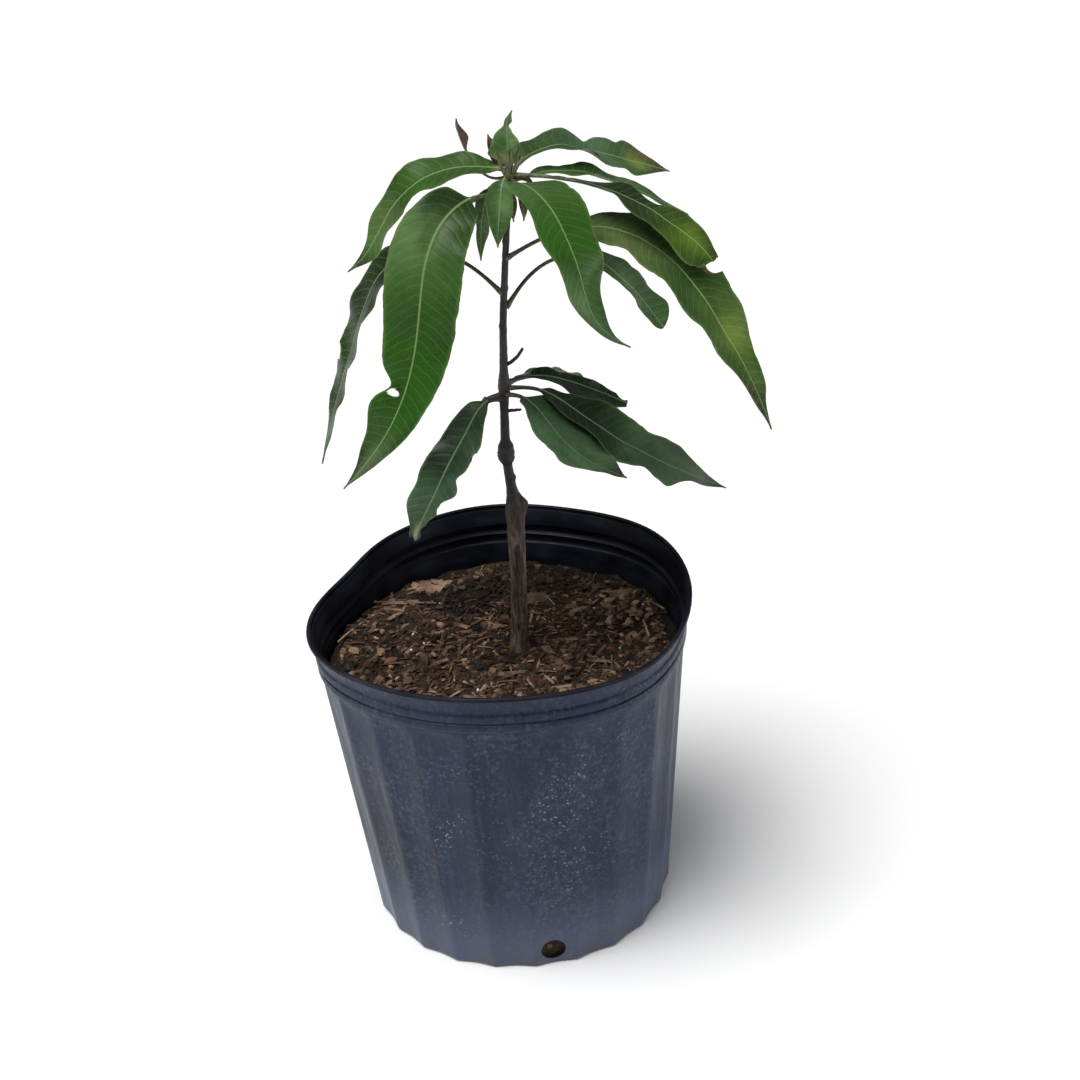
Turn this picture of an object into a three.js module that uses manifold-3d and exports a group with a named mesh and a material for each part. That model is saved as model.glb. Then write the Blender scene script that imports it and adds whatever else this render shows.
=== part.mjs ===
// A young grafted mango tree in a round, fluted nursery pot, about 0.6 m tall.
// Millimetres, +Z up. The origin is the centre of the pot's flat underside, and the front faces -Y.
// Azimuths are in degrees from +X, turning towards +Y, so 270 points at the front.
import * as THREE from "three";
import { mergeVertices } from "three/addons/utils/BufferGeometryUtils.js";
import Module from "manifold-3d";

const { degToRad, lerp, smoothstep } = THREE.MathUtils;
const wasm = await Module();
wasm.setup();

// ---------- Driving dimensions ----------

const GAP = 0.3; // clearance left between pieces that touch

const POT = {
  height: 250,
  baseRadius: 114.5,
  wall: 2,
  floor: 3.5,
  flutes: 24,
  fluteDepth: 2.2,
  firstRidge: 3, // azimuth of one of the ridges between the flutes
  fluteTop: 218, // height where the flutes end and the rim's ribs begin
  topRadius: 133, // at that height
  wallRings: [55, 110, 165], // heights between, so that the squeezed wall bends evenly
  footEdge: 2.5, // bevel round the underside
  segments: 72, // three to a flute
};

// The rim's section, [radius, height], from the top of the flutes over the lip and down inside.
const RIM = [
  [134.8, 221], // lower rib
  [134.8, 225],
  [133.4, 227],
  [135.4, 229], // upper rib
  [135.4, 233],
  [134.2, 235],
  [136.6, 246.5], // plain band under the lip
  [139.5, 247.5], // rolled lip
  [139.5, POT.height],
  [136.2, POT.height],
  [134.4, 246],
];

// The pot is soft and squeezed out of round: how far each stretch is pushed out (or in) at the rim and
// at the foot.
const SQUEEZES = [
  { azimuth: 308, spread: 27, push: 11.5, foot: 4 },
  { azimuth: 156, spread: 26, push: -16, foot: -2 },
  { azimuth: 92, spread: 22, push: 6.5, foot: 0 },
  { azimuth: 38, spread: 22, push: 5, foot: 0 },
  { azimuth: 206, spread: 18, push: 3, foot: 0 },
];

const DRAIN = { radius: 9, height: 14, count: 4, azimuth: 280 };

const SOIL = {
  level: 203, // the flat patch that the stem stands on
  patch: 12, // radius of that patch
  settle: 14, // how far round the patch the surface takes to become uneven
  clear: 0.6, // the mix has shrunk this far from the wall
  topRings: [0.88, 0.72, 0.56, 0.42, 0.3, 0.2, 0.1], // rings of the surface, as shares of its radius
};

// Small unevenness all over the mix: waves this high, and the distances they change over.
const LUMPS = { high: 1.2, acrossX: 9, acrossY: 11, rippleHigh: 0.8, ripple: 17 };

// Mounds of the potting mix: centre, spread and height.
const MOUNDS = [
  { x: -75, y: 25, spread: 40, height: 7 },
  { x: 70, y: 45, spread: 35, height: 4 },
  { x: 45, y: -70, spread: 30, height: 3 },
  { x: -30, y: -80, spread: 35, height: 2.5 },
  { x: -105, y: 0, spread: 50, height: 12 },
  { x: -80, y: 60, spread: 40, height: 5 },
];

// The stem: sideways lean and radius by height, from the flat cut at the soil up to the end bud.
const FOOT = SOIL.level + GAP;
const LEAN = [
  [FOOT, 13],
  [275, 16.5],
  [319, 18],
  [359, 15.2],
  [395, 17],
  [456, 21.2],
  [497, 26],
  [553, 33],
  [566, 33.5],
];
const RADII = [
  [FOOT, 9], // root flare
  [209, 7.3],
  [222, 6.7],
  [300, 6.3],
  [311, 7.2],
  [319, 7.8], // graft union
  [327, 5.6],
  [333, 3.7],
  [351, 3.4],
  [355, 4.8],
  [360, 6], // old node, grown round
  [365, 4.8],
  [369, 3.3],
  [392, 2.9],
  [404, 3.6], // scars of the first flush
  [413, 4],
  [420, 2.9],
  [440, 2.6],
  [497, 2.2],
  [536, 2.2],
  [546, 3.4], // crown of the last flush
  [556, 3.2],
  [561, 1.8],
  [566, 0.5], // end bud
];
const STEM_SIDES = 10;

// What is left on the stem: the rootstock's cut shoulder and the stalks of leaves that have dropped.
const KNOB = { height: 321, out: 4.5, radius: 5.2 };
const STUBS = [
  { at: 424, azimuth: 352, length: 19, radius: 1.1, rise: 20, lift: 45 },
  { at: 391, azimuth: 350, length: 12, radius: 1, rise: 5, lift: 0 },
];

// Each leaf leaves the stem at the height `at` on a round stalk and ends in a flat blade. Seen from the
// side it sets out at the slope `rise`, has bent to `fall` at the share `bend` of its length, and ends
// at `tip`. `sweep` curves it in plan, `roll` lifts its left edge, and `twist` adds to that on the way.
// A blade is widest at the share `belly` of its length, and one with `cut` has lost the rest of its tip.
const LEAVES = [
  // the last full flush, at the crown
  { name: "upper_leaf_left", at: 557, azimuth: 176, stalk: 12, blade: 120, width: 35,
    rise: 10, fall: -58, bend: 0.77, tip: -32, sweep: 10, roll: -22, twist: -15 },
  { name: "upper_leaf_front_left", at: 541, azimuth: 226, stalk: 31, blade: 214, width: 49,
    rise: 16, fall: -74, bend: 0.46, tip: -18, sweep: 7, roll: -46, twist: -32, belly: 0.34 },
  { name: "upper_leaf_front", at: 547, azimuth: 282.5, stalk: 17, blade: 150, width: 47,
    rise: 20, fall: -75, bend: 0.71, tip: -17, sweep: 49, roll: -8, twist: 6 },
  { name: "upper_leaf_front_right", at: 553, azimuth: 345, stalk: 21, blade: 128, width: 43,
    rise: -2, fall: -31, bend: 0.8, tip: -53, sweep: -23, roll: -4, twist: 58, belly: 0.55 },
  { name: "upper_leaf_right", at: 549, azimuth: 28, stalk: 9, blade: 121, width: 22,
    rise: 4, fall: -30, bend: 0.65, tip: -31, sweep: -25, roll: 8, twist: 10 },
  { name: "upper_leaf_back_right", at: 555, azimuth: 55, stalk: 14, blade: 133, width: 42,
    rise: 16, fall: -22, bend: 0.5, tip: -23, sweep: -35, roll: 20, twist: 75 },
  { name: "upper_leaf_back", at: 541, azimuth: 56, stalk: 20, blade: 118, width: 36,
    rise: 2, fall: -62, bend: 0.5, tip: -70, sweep: -16, roll: 12, twist: 20 },
  { name: "upper_leaf_back_left", at: 538, azimuth: 139, stalk: 22, blade: 140, width: 40,
    rise: -5, fall: -70, bend: 0.5, tip: -75, sweep: 6, roll: 0, twist: 0 },

  // three long-stalked leaves between the flushes
  { name: "middle_leaf_left", at: 477, azimuth: 168, stalk: 36, blade: 204, width: 42,
    rise: 47, fall: -67, bend: 0.52, tip: -71, sweep: 8, roll: -20, twist: 0 },
  { name: "middle_leaf_front_right", at: 500, azimuth: 336, stalk: 49, blade: 197, width: 50,
    rise: 31, fall: -55, bend: 0.7, tip: -66, sweep: -18, roll: 10, twist: -30 },
  { name: "middle_leaf_right", at: 467, azimuth: 17, stalk: 46, blade: 98, width: 32,
    rise: 51, fall: -51, bend: 0.7, tip: -60, sweep: -10, roll: 16, twist: 50, cut: 0.9 },

  // the first flush, low on the stem
  { name: "lower_leaf_front_left", at: 401, azimuth: 212, stalk: 8, blade: 107, width: 37,
    rise: 12, fall: -50, bend: 0.2, tip: -55, sweep: 0, roll: -18, twist: -18, cut: 0.92 },
  { name: "lower_leaf_front", at: 404, azimuth: 316, stalk: 12, blade: 95, width: 60,
    rise: 10, fall: -45, bend: 0.32, tip: -7, sweep: 10, roll: -10, twist: 15 },
  { name: "lower_leaf_right", at: 408, azimuth: 349, stalk: 19, blade: 146, width: 46,
    rise: 3, fall: -39, bend: 0.25, tip: -22, sweep: 0, roll: 15, twist: 20 },
  { name: "lower_leaf_back_right", at: 411.5, azimuth: 30, stalk: 14, blade: 86, width: 27,
    rise: 0, fall: -29, bend: 0.47, tip: -34, sweep: -10, roll: 26, twist: 45, cut: 0.9 },
  { name: "lower_leaf_back", at: 408, azimuth: 66, stalk: 15, blade: 122, width: 20,
    rise: -8, fall: -28, bend: 0.8, tip: -45, sweep: -14, roll: -5, twist: 20 },
  { name: "lower_leaf_back_left", at: 402, azimuth: 145, stalk: 10, blade: 74, width: 26,
    rise: -20, fall: -62, bend: 0.4, tip: -64, sweep: 0, roll: 0, twist: 0 },

  // young leaves round the end bud: two upright, two still limp
  { name: "young_leaf_upright_front", at: 560, azimuth: 90, stalk: 2, blade: 31, width: 20,
    rise: 70, fall: 88, bend: 0.5, tip: 50, sweep: -60, roll: 0, twist: 0, belly: 0.35 },
  { name: "young_leaf_upright_back", at: 555, azimuth: 138, stalk: 5, blade: 22, width: 11,
    rise: 18, fall: 78, bend: 0.5, tip: 75, sweep: 0, roll: 0, twist: 0 },
  { name: "young_leaf_limp_front", at: 553.5, azimuth: 250, stalk: 4, blade: 46, width: 18,
    rise: -2, fall: -68, bend: 0.35, tip: -78, sweep: -14, roll: -8, twist: 0 },
  { name: "young_leaf_limp_left", at: 546, azimuth: 186, stalk: 6, blade: 50, width: 16,
    rise: 5, fall: -78, bend: 0.3, tip: -84, sweep: 0, roll: -30, twist: 0 },
];

const LEAF = {
  sides: 8,
  step: 11, // length of one step along a leaf
  belly: 0.44,
  stalkRadius: 1.25,
  youngStalkRadius: 0.8,
  thickness: 1 / 80, // of the blade's length, where the blade begins
  leastThickness: 1.2,
  tipThinness: 0.75, // what is left of the thickness at the tip
  tipRadius: 0.5,
  fullness: [0.6, 1.1], // how full the outline is at the base, and how drawn out at the tip
  fold: 11, // slope in degrees of each half up from the midrib
  wave: 1.8, // height of the waves along the edges
  waveLength: 38,
};

// ---------- Shared helpers ----------

// Reads a table of [height, value] rows at a height, straight between the rows.
function readAt(table, height) {
  const above = table.findIndex((row) => row[0] >= height);
  if (above < 0) return table.at(-1)[1];
  if (above === 0) return table[0][1];
  const [h0, v0] = table[above - 1];
  const [h1, v1] = table[above];
  return lerp(v0, v1, (height - h0) / (h1 - h0));
}

// Moves every vertex of a geometry to where `place` sends it.
function reshape(geometry, place) {
  const spots = geometry.getAttribute("position");
  const spot = new THREE.Vector3();
  for (let i = 0; i < spots.count; i += 1) {
    spot.fromBufferAttribute(spots, i);
    const moved = place(spot);
    spots.setXYZ(i, moved.x, moved.y, moved.z);
  }
  return geometry;
}

// A closed lathe body about +Z from [radius, height] points.
function lathe(points, segments, firstAzimuth) {
  const profile = points.map(([r, h]) => new THREE.Vector2(r, h));
  const geometry = new THREE.LatheGeometry(profile, segments, degToRad(firstAzimuth));
  return geometry.rotateX(Math.PI / 2);
}

function toSolid(geometry) {
  const bare = geometry.clone();
  bare.deleteAttribute("normal");
  bare.deleteAttribute("uv");
  const merged = mergeVertices(bare);
  return new wasm.Manifold(
    new wasm.Mesh({
      numProp: 3,
      vertProperties: merged.getAttribute("position").array,
      triVerts: new Uint32Array(merged.index.array),
    }),
  );
}

function toGeometry(solid) {
  const mesh = solid.getMesh();
  const geometry = new THREE.BufferGeometry();
  geometry.setAttribute("position", new THREE.BufferAttribute(mesh.vertProperties, 3));
  geometry.setIndex(new THREE.BufferAttribute(mesh.triVerts, 1));
  return geometry;
}

function named(name, geometry, material) {
  const mesh = new THREE.Mesh(geometry, material);
  mesh.name = name;
  return mesh;
}

// ---------- Pot and soil ----------

// How far the squeezed wall stands outside its true circle.
function squeeze(azimuth, height) {
  return SQUEEZES.reduce((sum, one) => {
    const away = ((azimuth - one.azimuth + 540) % 360) - 180;
    return sum + lerp(one.foot, one.push, height / POT.height) * Math.exp(-((away / one.spread) ** 2));
  }, 0);
}

// Depth of the flutes: none on the ridges between them, and gone at the rim's ribs.
function flute(azimuth, height) {
  if (height > POT.fluteTop) return 0;
  const turn = degToRad((azimuth - POT.firstRidge) * POT.flutes) / 2;
  return POT.fluteDepth * Math.abs(Math.sin(turn));
}

// Carries a point of the round pot to its place on the fluted and squeezed one.
function potShape(spot) {
  const radius = Math.hypot(spot.x, spot.y);
  if (radius < 1) return spot.clone();
  const azimuth = (THREE.MathUtils.radToDeg(Math.atan2(spot.y, spot.x)) + 360) % 360;
  const share = Math.min(1, radius / POT.baseRadius);
  const pushed = squeeze(azimuth, spot.z) - flute(azimuth, spot.z);
  const scale = (radius + pushed * share) / radius;
  return new THREE.Vector3(spot.x * scale, spot.y * scale, spot.z);
}

// Radius of the wall's outer face below the rim's ribs, before it is fluted and squeezed.
function wallRadius(height) {
  return lerp(POT.baseRadius, POT.topRadius, height / POT.fluteTop);
}

function pot() {
  const profile = [
    [0, 0],
    [POT.baseRadius - POT.footEdge, 0],
    [wallRadius(POT.footEdge), POT.footEdge],
    ...POT.wallRings.map((height) => [wallRadius(height), height]),
    [POT.topRadius, POT.fluteTop],
    ...RIM,
    [POT.topRadius - POT.wall, POT.fluteTop],
    ...POT.wallRings.map((height) => [wallRadius(height) - POT.wall, height]).reverse(),
    [wallRadius(POT.floor) - POT.wall, POT.floor],
    [0, POT.floor],
  ];
  let solid = toSolid(reshape(lathe(profile, POT.segments, POT.firstRidge), potShape));
  for (let i = 0; i < DRAIN.count; i += 1) {
    const azimuth = degToRad(DRAIN.azimuth + (i * 360) / DRAIN.count);
    const drill = new THREE.CylinderGeometry(DRAIN.radius, DRAIN.radius, 40, 16);
    drill.rotateZ(Math.PI / 2).translate(POT.baseRadius, 0, DRAIN.height).rotateZ(azimuth);
    solid = solid.subtract(toSolid(drill));
  }
  const plastic = new THREE.MeshStandardMaterial({ color: 0x3b4256, roughness: 0.55, metalness: 0 });
  return named("pot", toGeometry(solid), plastic);
}

// Height of the potting mix, which is flat where the stem stands.
function soilHeight(x, y) {
  const mounds = MOUNDS.reduce((sum, one) => {
    const away = Math.hypot(x - one.x, y - one.y);
    return sum + one.height * Math.exp(-((away / one.spread) ** 2));
  }, 0);
  const waves = LUMPS.high * Math.sin(x / LUMPS.acrossX) * Math.cos(y / LUMPS.acrossY);
  const lumps = waves + LUMPS.rippleHigh * Math.sin((x + y) / LUMPS.ripple);
  const away = Math.hypot(x - readAt(LEAN, FOOT), y);
  return SOIL.level + (mounds + lumps) * smoothstep(away, SOIL.patch, SOIL.patch + SOIL.settle);
}

function soil() {
  const bottom = POT.floor + GAP;
  const side = [bottom, ...POT.wallRings, SOIL.level];
  const profile = [[0, bottom]];
  side.forEach((height) => profile.push([wallRadius(height) - POT.wall - SOIL.clear, height]));
  const edge = profile.at(-1)[0];
  SOIL.topRings.forEach((share) => profile.push([edge * share, SOIL.level]));
  profile.push([0, SOIL.level]);
  const geometry = lathe(profile, POT.segments, POT.firstRidge);
  reshape(geometry, (spot) => {
    const moved = potShape(spot);
    const onTop = spot.z > SOIL.level - 1;
    if (onTop) moved.z = soilHeight(moved.x, moved.y);
    return moved;
  });
  const mix = new THREE.MeshStandardMaterial({ color: 0x3a2f28, roughness: 0.95, metalness: 0 });
  return named("soil", geometry, mix);
}

// ---------- Stem ----------

function stemAxis(height) {
  return new THREE.Vector3(readAt(LEAN, height), 0, height);
}

// Unit vectors of a direction: along it, to its right, and up from its upper side.
function heading(azimuth, pitch, roll) {
  const flat = new THREE.Vector3(Math.cos(azimuth), Math.sin(azimuth), 0);
  const along = flat.multiplyScalar(Math.cos(pitch));
  along.z = Math.sin(pitch);
  const level = new THREE.Vector3(Math.sin(azimuth), -Math.cos(azimuth), 0);
  const upright = level.clone().cross(along);
  const right = level.clone().multiplyScalar(Math.cos(roll)).addScaledVector(upright, -Math.sin(roll));
  const up = right.clone().cross(along);
  return { along, right, up };
}

// A dry leaf stalk that starts inside the stem and curls upwards.
function stub({ at, azimuth, length, radius, rise, lift }) {
  const steps = 5;
  const rings = [];
  const centre = stemAxis(at);
  for (let i = 0; i <= steps; i += 1) {
    const frame = heading(degToRad(azimuth), degToRad(rise + (lift * i) / steps), 0);
    rings.push({ centre: centre.clone(), ...frame });
    centre.addScaledVector(frame.along, length / steps);
  }
  return reshape(new THREE.CylinderGeometry(1, 1, 1, 6, steps), (spot) => {
    const ring = rings[Math.round((spot.y + 0.5) * steps)];
    return ring.centre
      .clone()
      .addScaledVector(ring.right, spot.x * radius)
      .addScaledVector(ring.up, spot.z * radius);
  });
}

function trunk() {
  const heights = [...RADII, ...LEAN].map((row) => row[0]);
  const levels = [...new Set(heights)].sort((a, b) => a - b);
  const profile = levels.map((height) => [readAt(RADII, height), height]);
  profile.unshift([0, FOOT]);
  profile.push([0, levels.at(-1)]);
  const limb = lathe(profile, STEM_SIDES, 0);
  reshape(limb, (spot) => new THREE.Vector3(spot.x + readAt(LEAN, spot.z), spot.y, spot.z));
  const knob = new THREE.IcosahedronGeometry(KNOB.radius, 1);
  knob.translate(readAt(LEAN, KNOB.height) + KNOB.out, 0, KNOB.height);
  let solid = toSolid(limb).add(toSolid(knob));
  STUBS.forEach((one) => {
    solid = solid.add(toSolid(stub(one)));
  });
  const bark = new THREE.MeshStandardMaterial({ color: 0x332c29, roughness: 0.85, metalness: 0 });
  return named("trunk", toGeometry(solid), bark);
}

// ---------- Leaves ----------

// Half the blade's width, as a share of its greatest, at a share t of the blade's length.
function outline(t, belly = LEAF.belly) {
  const even = t ** (Math.log(0.5) / Math.log(belly));
  return Math.max(0, Math.sin(Math.PI * even)) ** lerp(LEAF.fullness[0], LEAF.fullness[1], t);
}

function leafPitch({ rise, fall, bend, tip }, u) {
  if (u < bend) return degToRad(lerp(rise, fall, smoothstep(u, 0, bend)));
  return degToRad(lerp(fall, tip, smoothstep(u, bend, 1)));
}

// The leaf's midline: a ring of place and directions at each step from stem to tip.
function leafRings(leaf, steps, stalkRadius) {
  const fine = 6; // short moves within each step
  const moves = steps * fine;
  const reach = (leaf.stalk + leaf.blade) / moves;
  const start = heading(degToRad(leaf.azimuth), 0, 0).along;
  const widest = Math.max(readAt(RADII, leaf.at - stalkRadius), readAt(RADII, leaf.at + stalkRadius));
  const clear = widest + GAP + stalkRadius * Math.abs(Math.sin(degToRad(leaf.rise)));
  const centre = stemAxis(leaf.at).addScaledVector(start, clear);
  const rings = [];
  for (let i = 0; i <= moves; i += 1) {
    const u = i / moves;
    const azimuth = degToRad(leaf.azimuth + leaf.sweep * u);
    const roll = degToRad(leaf.roll + leaf.twist * (u - 0.5));
    const frame = heading(azimuth, leafPitch(leaf, u), roll);
    if (i % fine === 0) rings.push({ centre: centre.clone(), ...frame });
    centre.addScaledVector(frame.along, reach);
  }
  return rings;
}

function leafGeometry(leaf) {
  const young = leaf.name.startsWith("young");
  const stalkRadius = young ? LEAF.youngStalkRadius : LEAF.stalkRadius;
  const length = leaf.stalk + leaf.blade;
  const steps = Math.max(6, Math.round(length / LEAF.step));
  const rings = leafRings(leaf, steps, stalkRadius);
  const halfThick = Math.max(LEAF.leastThickness, leaf.blade * LEAF.thickness) / 2;
  return reshape(new THREE.CylinderGeometry(1, 1, 1, LEAF.sides, steps), (spot) => {
    const u = spot.y + 0.5;
    const ring = rings[Math.round(u * steps)];
    const t = Math.max(0, (u * length - leaf.stalk) / leaf.blade) * (leaf.cut ?? 1);
    const open = outline(t, leaf.belly);
    const across = Math.max(lerp(stalkRadius, LEAF.tipRadius, t), (open * leaf.width) / 2);
    const thick = t > 0 ? halfThick * lerp(1, LEAF.tipThinness, t) : stalkRadius;
    const fold = Math.abs(spot.x) * across * open * Math.tan(degToRad(LEAF.fold));
    const wave = LEAF.wave * open * spot.x ** 2 * Math.sin((2 * Math.PI * t * leaf.blade) / LEAF.waveLength);
    return ring.centre
      .clone()
      .addScaledVector(ring.right, spot.x * across)
      .addScaledVector(ring.up, spot.z * thick + fold + wave);
  });
}

// Old leaves are bluish green, the last flush is fresh green, and the young ones are greyish.
function leafColor(name) {
  if (name.startsWith("lower")) return 0x3a5539;
  if (name.startsWith("young")) return 0x5b7350;
  return 0x3f6b2a;
}

function leaf(spec) {
  const color = leafColor(spec.name);
  return named(spec.name, leafGeometry(spec), new THREE.MeshStandardMaterial({ color, roughness: 0.4 }));
}

// ---------- The whole plant ----------

const group = new THREE.Group();
group.add(pot(), soil(), trunk(), ...LEAVES.map(leaf));

export default group;
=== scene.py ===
# %% [markdown]
# # A young mango tree in its nursery pot
#
# This lesson dresses a plain solid model of a grafted mango sapling: a fluted plastic pot, potting mix,
# a thin leaning stem and twenty-one leaves. The solids come in as a fixed frame in metres. They are never
# moved, and each new piece is modelled where its solid stands and then takes its place on show.

# %% Load the fixed frame
import math
import random

import bpy
import numpy as np
from mathutils import Matrix, Vector, noise


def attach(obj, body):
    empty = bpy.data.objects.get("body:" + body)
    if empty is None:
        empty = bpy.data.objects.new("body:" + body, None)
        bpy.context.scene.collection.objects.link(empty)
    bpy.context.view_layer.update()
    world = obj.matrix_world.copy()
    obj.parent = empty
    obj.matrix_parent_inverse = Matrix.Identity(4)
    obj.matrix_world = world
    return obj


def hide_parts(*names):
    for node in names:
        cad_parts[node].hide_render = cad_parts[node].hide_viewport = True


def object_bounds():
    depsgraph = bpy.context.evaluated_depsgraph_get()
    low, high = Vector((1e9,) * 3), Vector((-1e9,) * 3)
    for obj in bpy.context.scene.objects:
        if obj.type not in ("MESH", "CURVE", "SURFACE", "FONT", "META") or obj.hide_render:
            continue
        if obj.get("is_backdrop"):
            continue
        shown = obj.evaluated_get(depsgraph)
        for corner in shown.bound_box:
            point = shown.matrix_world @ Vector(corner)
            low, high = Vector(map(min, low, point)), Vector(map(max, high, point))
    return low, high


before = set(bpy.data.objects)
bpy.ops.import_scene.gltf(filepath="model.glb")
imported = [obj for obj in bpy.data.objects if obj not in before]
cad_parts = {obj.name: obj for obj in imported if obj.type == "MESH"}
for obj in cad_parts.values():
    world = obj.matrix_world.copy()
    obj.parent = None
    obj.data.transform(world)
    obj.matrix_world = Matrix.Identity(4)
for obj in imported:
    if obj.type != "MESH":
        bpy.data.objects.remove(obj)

cad_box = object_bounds()
MM = 0.001
print("solids:", len(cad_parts), "box in metres:", [[round(v, 3) for v in corner] for corner in cad_box])

# %% [markdown]
# ## Camera, floor and light
#
# The plant is seen from a little above, at about the height where one looks down into the pot. A long lens
# keeps the pot's rim and foot nearly parallel. The camera is placed by two angles and a distance from the
# point it looks at, and its three axes are written straight into its matrix, which also gives the small
# roll. The floor is a plain pale plane. The light is a pale sky, one broad soft sun from above and a little
# from the left, and two weak soft panels, so the leaves get broad soft gloss and no hard shadows.

# %% Camera
LOOK_AT = Vector((34, 0, 290)) * MM
CAMERA_DISTANCE = 1172 * MM
CAMERA_ELEVATION = math.radians(27.5)
CAMERA_ROLL = math.radians(4.6)
LENS_MM, SENSOR_MM = 55, 36

away = Vector((0, -math.cos(CAMERA_ELEVATION), math.sin(CAMERA_ELEVATION)))
level_right = Vector((1, 0, 0))
level_up = away.cross(level_right)
camera_right = math.cos(CAMERA_ROLL) * level_right - math.sin(CAMERA_ROLL) * level_up
camera_up = math.sin(CAMERA_ROLL) * level_right + math.cos(CAMERA_ROLL) * level_up

bpy.ops.object.camera_add()
camera = bpy.context.object
camera.name = "plant_camera"
camera.data.lens = LENS_MM
camera.data.sensor_width = SENSOR_MM
camera.data.clip_end = 20
turn = Matrix((camera_right, camera_up, away)).transposed().to_4x4()
camera.matrix_world = Matrix.Translation(LOOK_AT + away * CAMERA_DISTANCE) @ turn
bpy.context.scene.camera = camera
print("camera at", [round(v, 3) for v in camera.matrix_world.translation])

# %% Floor
FLOOR_SIZE, FLOOR_DROP = 12, 0.0005  # metres; the drop keeps the floor clear of the pot's foot

bpy.ops.object.select_all(action="DESELECT")
bpy.ops.mesh.primitive_plane_add(size=FLOOR_SIZE, location=(0, 0, -FLOOR_DROP))
floor = bpy.context.object
floor.name = "pale_floor"
floor_paint = bpy.data.materials.new("pale_floor_paint")
floor_paint.use_nodes = True
floor_look = floor_paint.node_tree.nodes["Principled BSDF"].inputs
floor_look["Base Color"].default_value = (0.9, 0.9, 0.9, 1)
floor_look["Roughness"].default_value = 0.9
floor.data.materials.append(floor_paint)
floor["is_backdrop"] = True

# %% Soft lights and pale sky
LIGHTS_FACE = Vector((0, 0, 0.3))
PANEL_SIZE = 0.8


def soft_light(kind, name, place, strength):
    """A light that faces the middle of the plant."""
    bpy.ops.object.light_add(type=kind, location=place)
    light = bpy.context.object
    light.name = name
    light.data.energy = strength
    light.rotation_euler = (LIGHTS_FACE - Vector(place)).to_track_quat("-Z", "Y").to_euler()
    return light


soft_light("SUN", "soft_key", (-0.65, -0.4, 2.5), 3.4).data.angle = math.radians(42)
soft_light("AREA", "left_panel", (-1.6, -0.3, 0.35), 5).data.size = PANEL_SIZE
soft_light("AREA", "right_panel", (1.6, -0.5, 0.4), 9).data.size = PANEL_SIZE

sky = bpy.data.worlds.new("pale_sky")
sky.use_nodes = True
sky_look = sky.node_tree.nodes["Background"].inputs
sky_look["Color"].default_value = (0.96, 0.98, 1, 1)
sky_look["Strength"].default_value = 0.16
bpy.context.scene.world = sky
bpy.context.scene.view_settings.view_transform = "Standard"

# %% [markdown]
# ## Helpers for modelling
#
# Loading the frame leaves its solids selected, and an operator acts on all that is selected, so every new
# piece starts with nothing selected. Many of the shapes here are grown by a rule, so one helper reads all
# corners of a mesh into an array, and another writes them back. The rest close a shape, shade it and punch
# holes through it.

# %% Selecting, reading and writing corners
def start_clean():
    """Object mode with nothing selected."""
    if bpy.context.mode != "OBJECT":
        bpy.ops.object.mode_set(mode="OBJECT")
    bpy.ops.object.select_all(action="DESELECT")


def select_only(*pieces):
    """Selects these pieces and nothing else. The last one is active."""
    start_clean()
    for piece in pieces:
        piece.select_set(True)
    bpy.context.view_layer.objects.active = pieces[-1]


def corners(piece):
    """All corners of a mesh as rows of x, y, z."""
    flat = np.empty(len(piece.data.vertices) * 3)
    piece.data.vertices.foreach_get("co", flat)
    return flat.reshape(-1, 3)


def set_corners(piece, spots):
    piece.data.vertices.foreach_set("co", np.asarray(spots, dtype=float).ravel())
    piece.data.update()


def lerp(a, b, share):
    return a + (b - a) * share


def smoothstep(value, low, high):
    share = np.clip((value - low) / (high - low), 0, 1)
    return share * share * (3 - 2 * share)


def noisy(x, y, z):
    """Noise at many places at once. Each of the three is an array or one number for all."""
    return np.array([noise.noise(spot) for spot in zip(*(v.tolist() for v in np.broadcast_arrays(x, y, z)))])

# %% Closing, shading and punching
def close_up(piece, merge=1e-6):
    """Merges the seam and poles, closes open ends and turns all faces outwards."""
    bpy.context.view_layer.objects.active = piece
    bpy.ops.object.mode_set(mode="EDIT")
    bpy.ops.mesh.select_all(action="SELECT")
    bpy.ops.mesh.remove_doubles(threshold=merge)
    bpy.ops.mesh.fill_holes(sides=0)
    bpy.ops.mesh.select_all(action="SELECT")
    bpy.ops.mesh.normals_make_consistent(inside=False)
    bpy.ops.object.mode_set(mode="OBJECT")


def shade(piece, degrees):
    """Smooth shading, with crisp edges where faces meet more steeply than this."""
    select_only(piece)
    bpy.ops.object.shade_smooth_by_angle(angle=math.radians(degrees))


def punch_out(piece, punch):
    """Cuts a punch out of a piece with a Boolean and puts the punch away."""
    cut = piece.modifiers.new("punch", "BOOLEAN")
    cut.operation = "DIFFERENCE"
    cut.object = punch
    select_only(piece)
    bpy.ops.object.modifier_apply(modifier=cut.name)
    bpy.data.objects.remove(punch, do_unlink=True)


def report(piece):
    size = np.ptp(corners(piece), axis=0) / MM
    print(piece.name, "faces", len(piece.data.polygons), "size mm", [round(float(v), 1) for v in size])

# %% [markdown]
# ## Helpers for finishes
#
# Every finish is built from nodes. Short helpers add a node, do sums with nodes and mix two colours, so
# that each finish below reads as a recipe: coats of colour over a base, then how rough and shiny it is, and
# its relief. Colours are written as a paint shop names them, in steps of 0 to 255, and turned into
# Blender's linear light values.

# %% Node helpers
def paint(red, green, blue):
    """A linear colour from red, green and blue steps of 0 to 255."""
    steps = [v / 255 for v in (red, green, blue)]
    return (*[v / 12.92 if v <= 0.04045 else ((v + 0.055) / 1.055) ** 2.4 for v in steps], 1)


def new_finish(name):
    finish = bpy.data.materials.new(name)
    finish.use_nodes = True
    return finish, finish.node_tree, finish.node_tree.nodes["Principled BSDF"]


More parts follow.
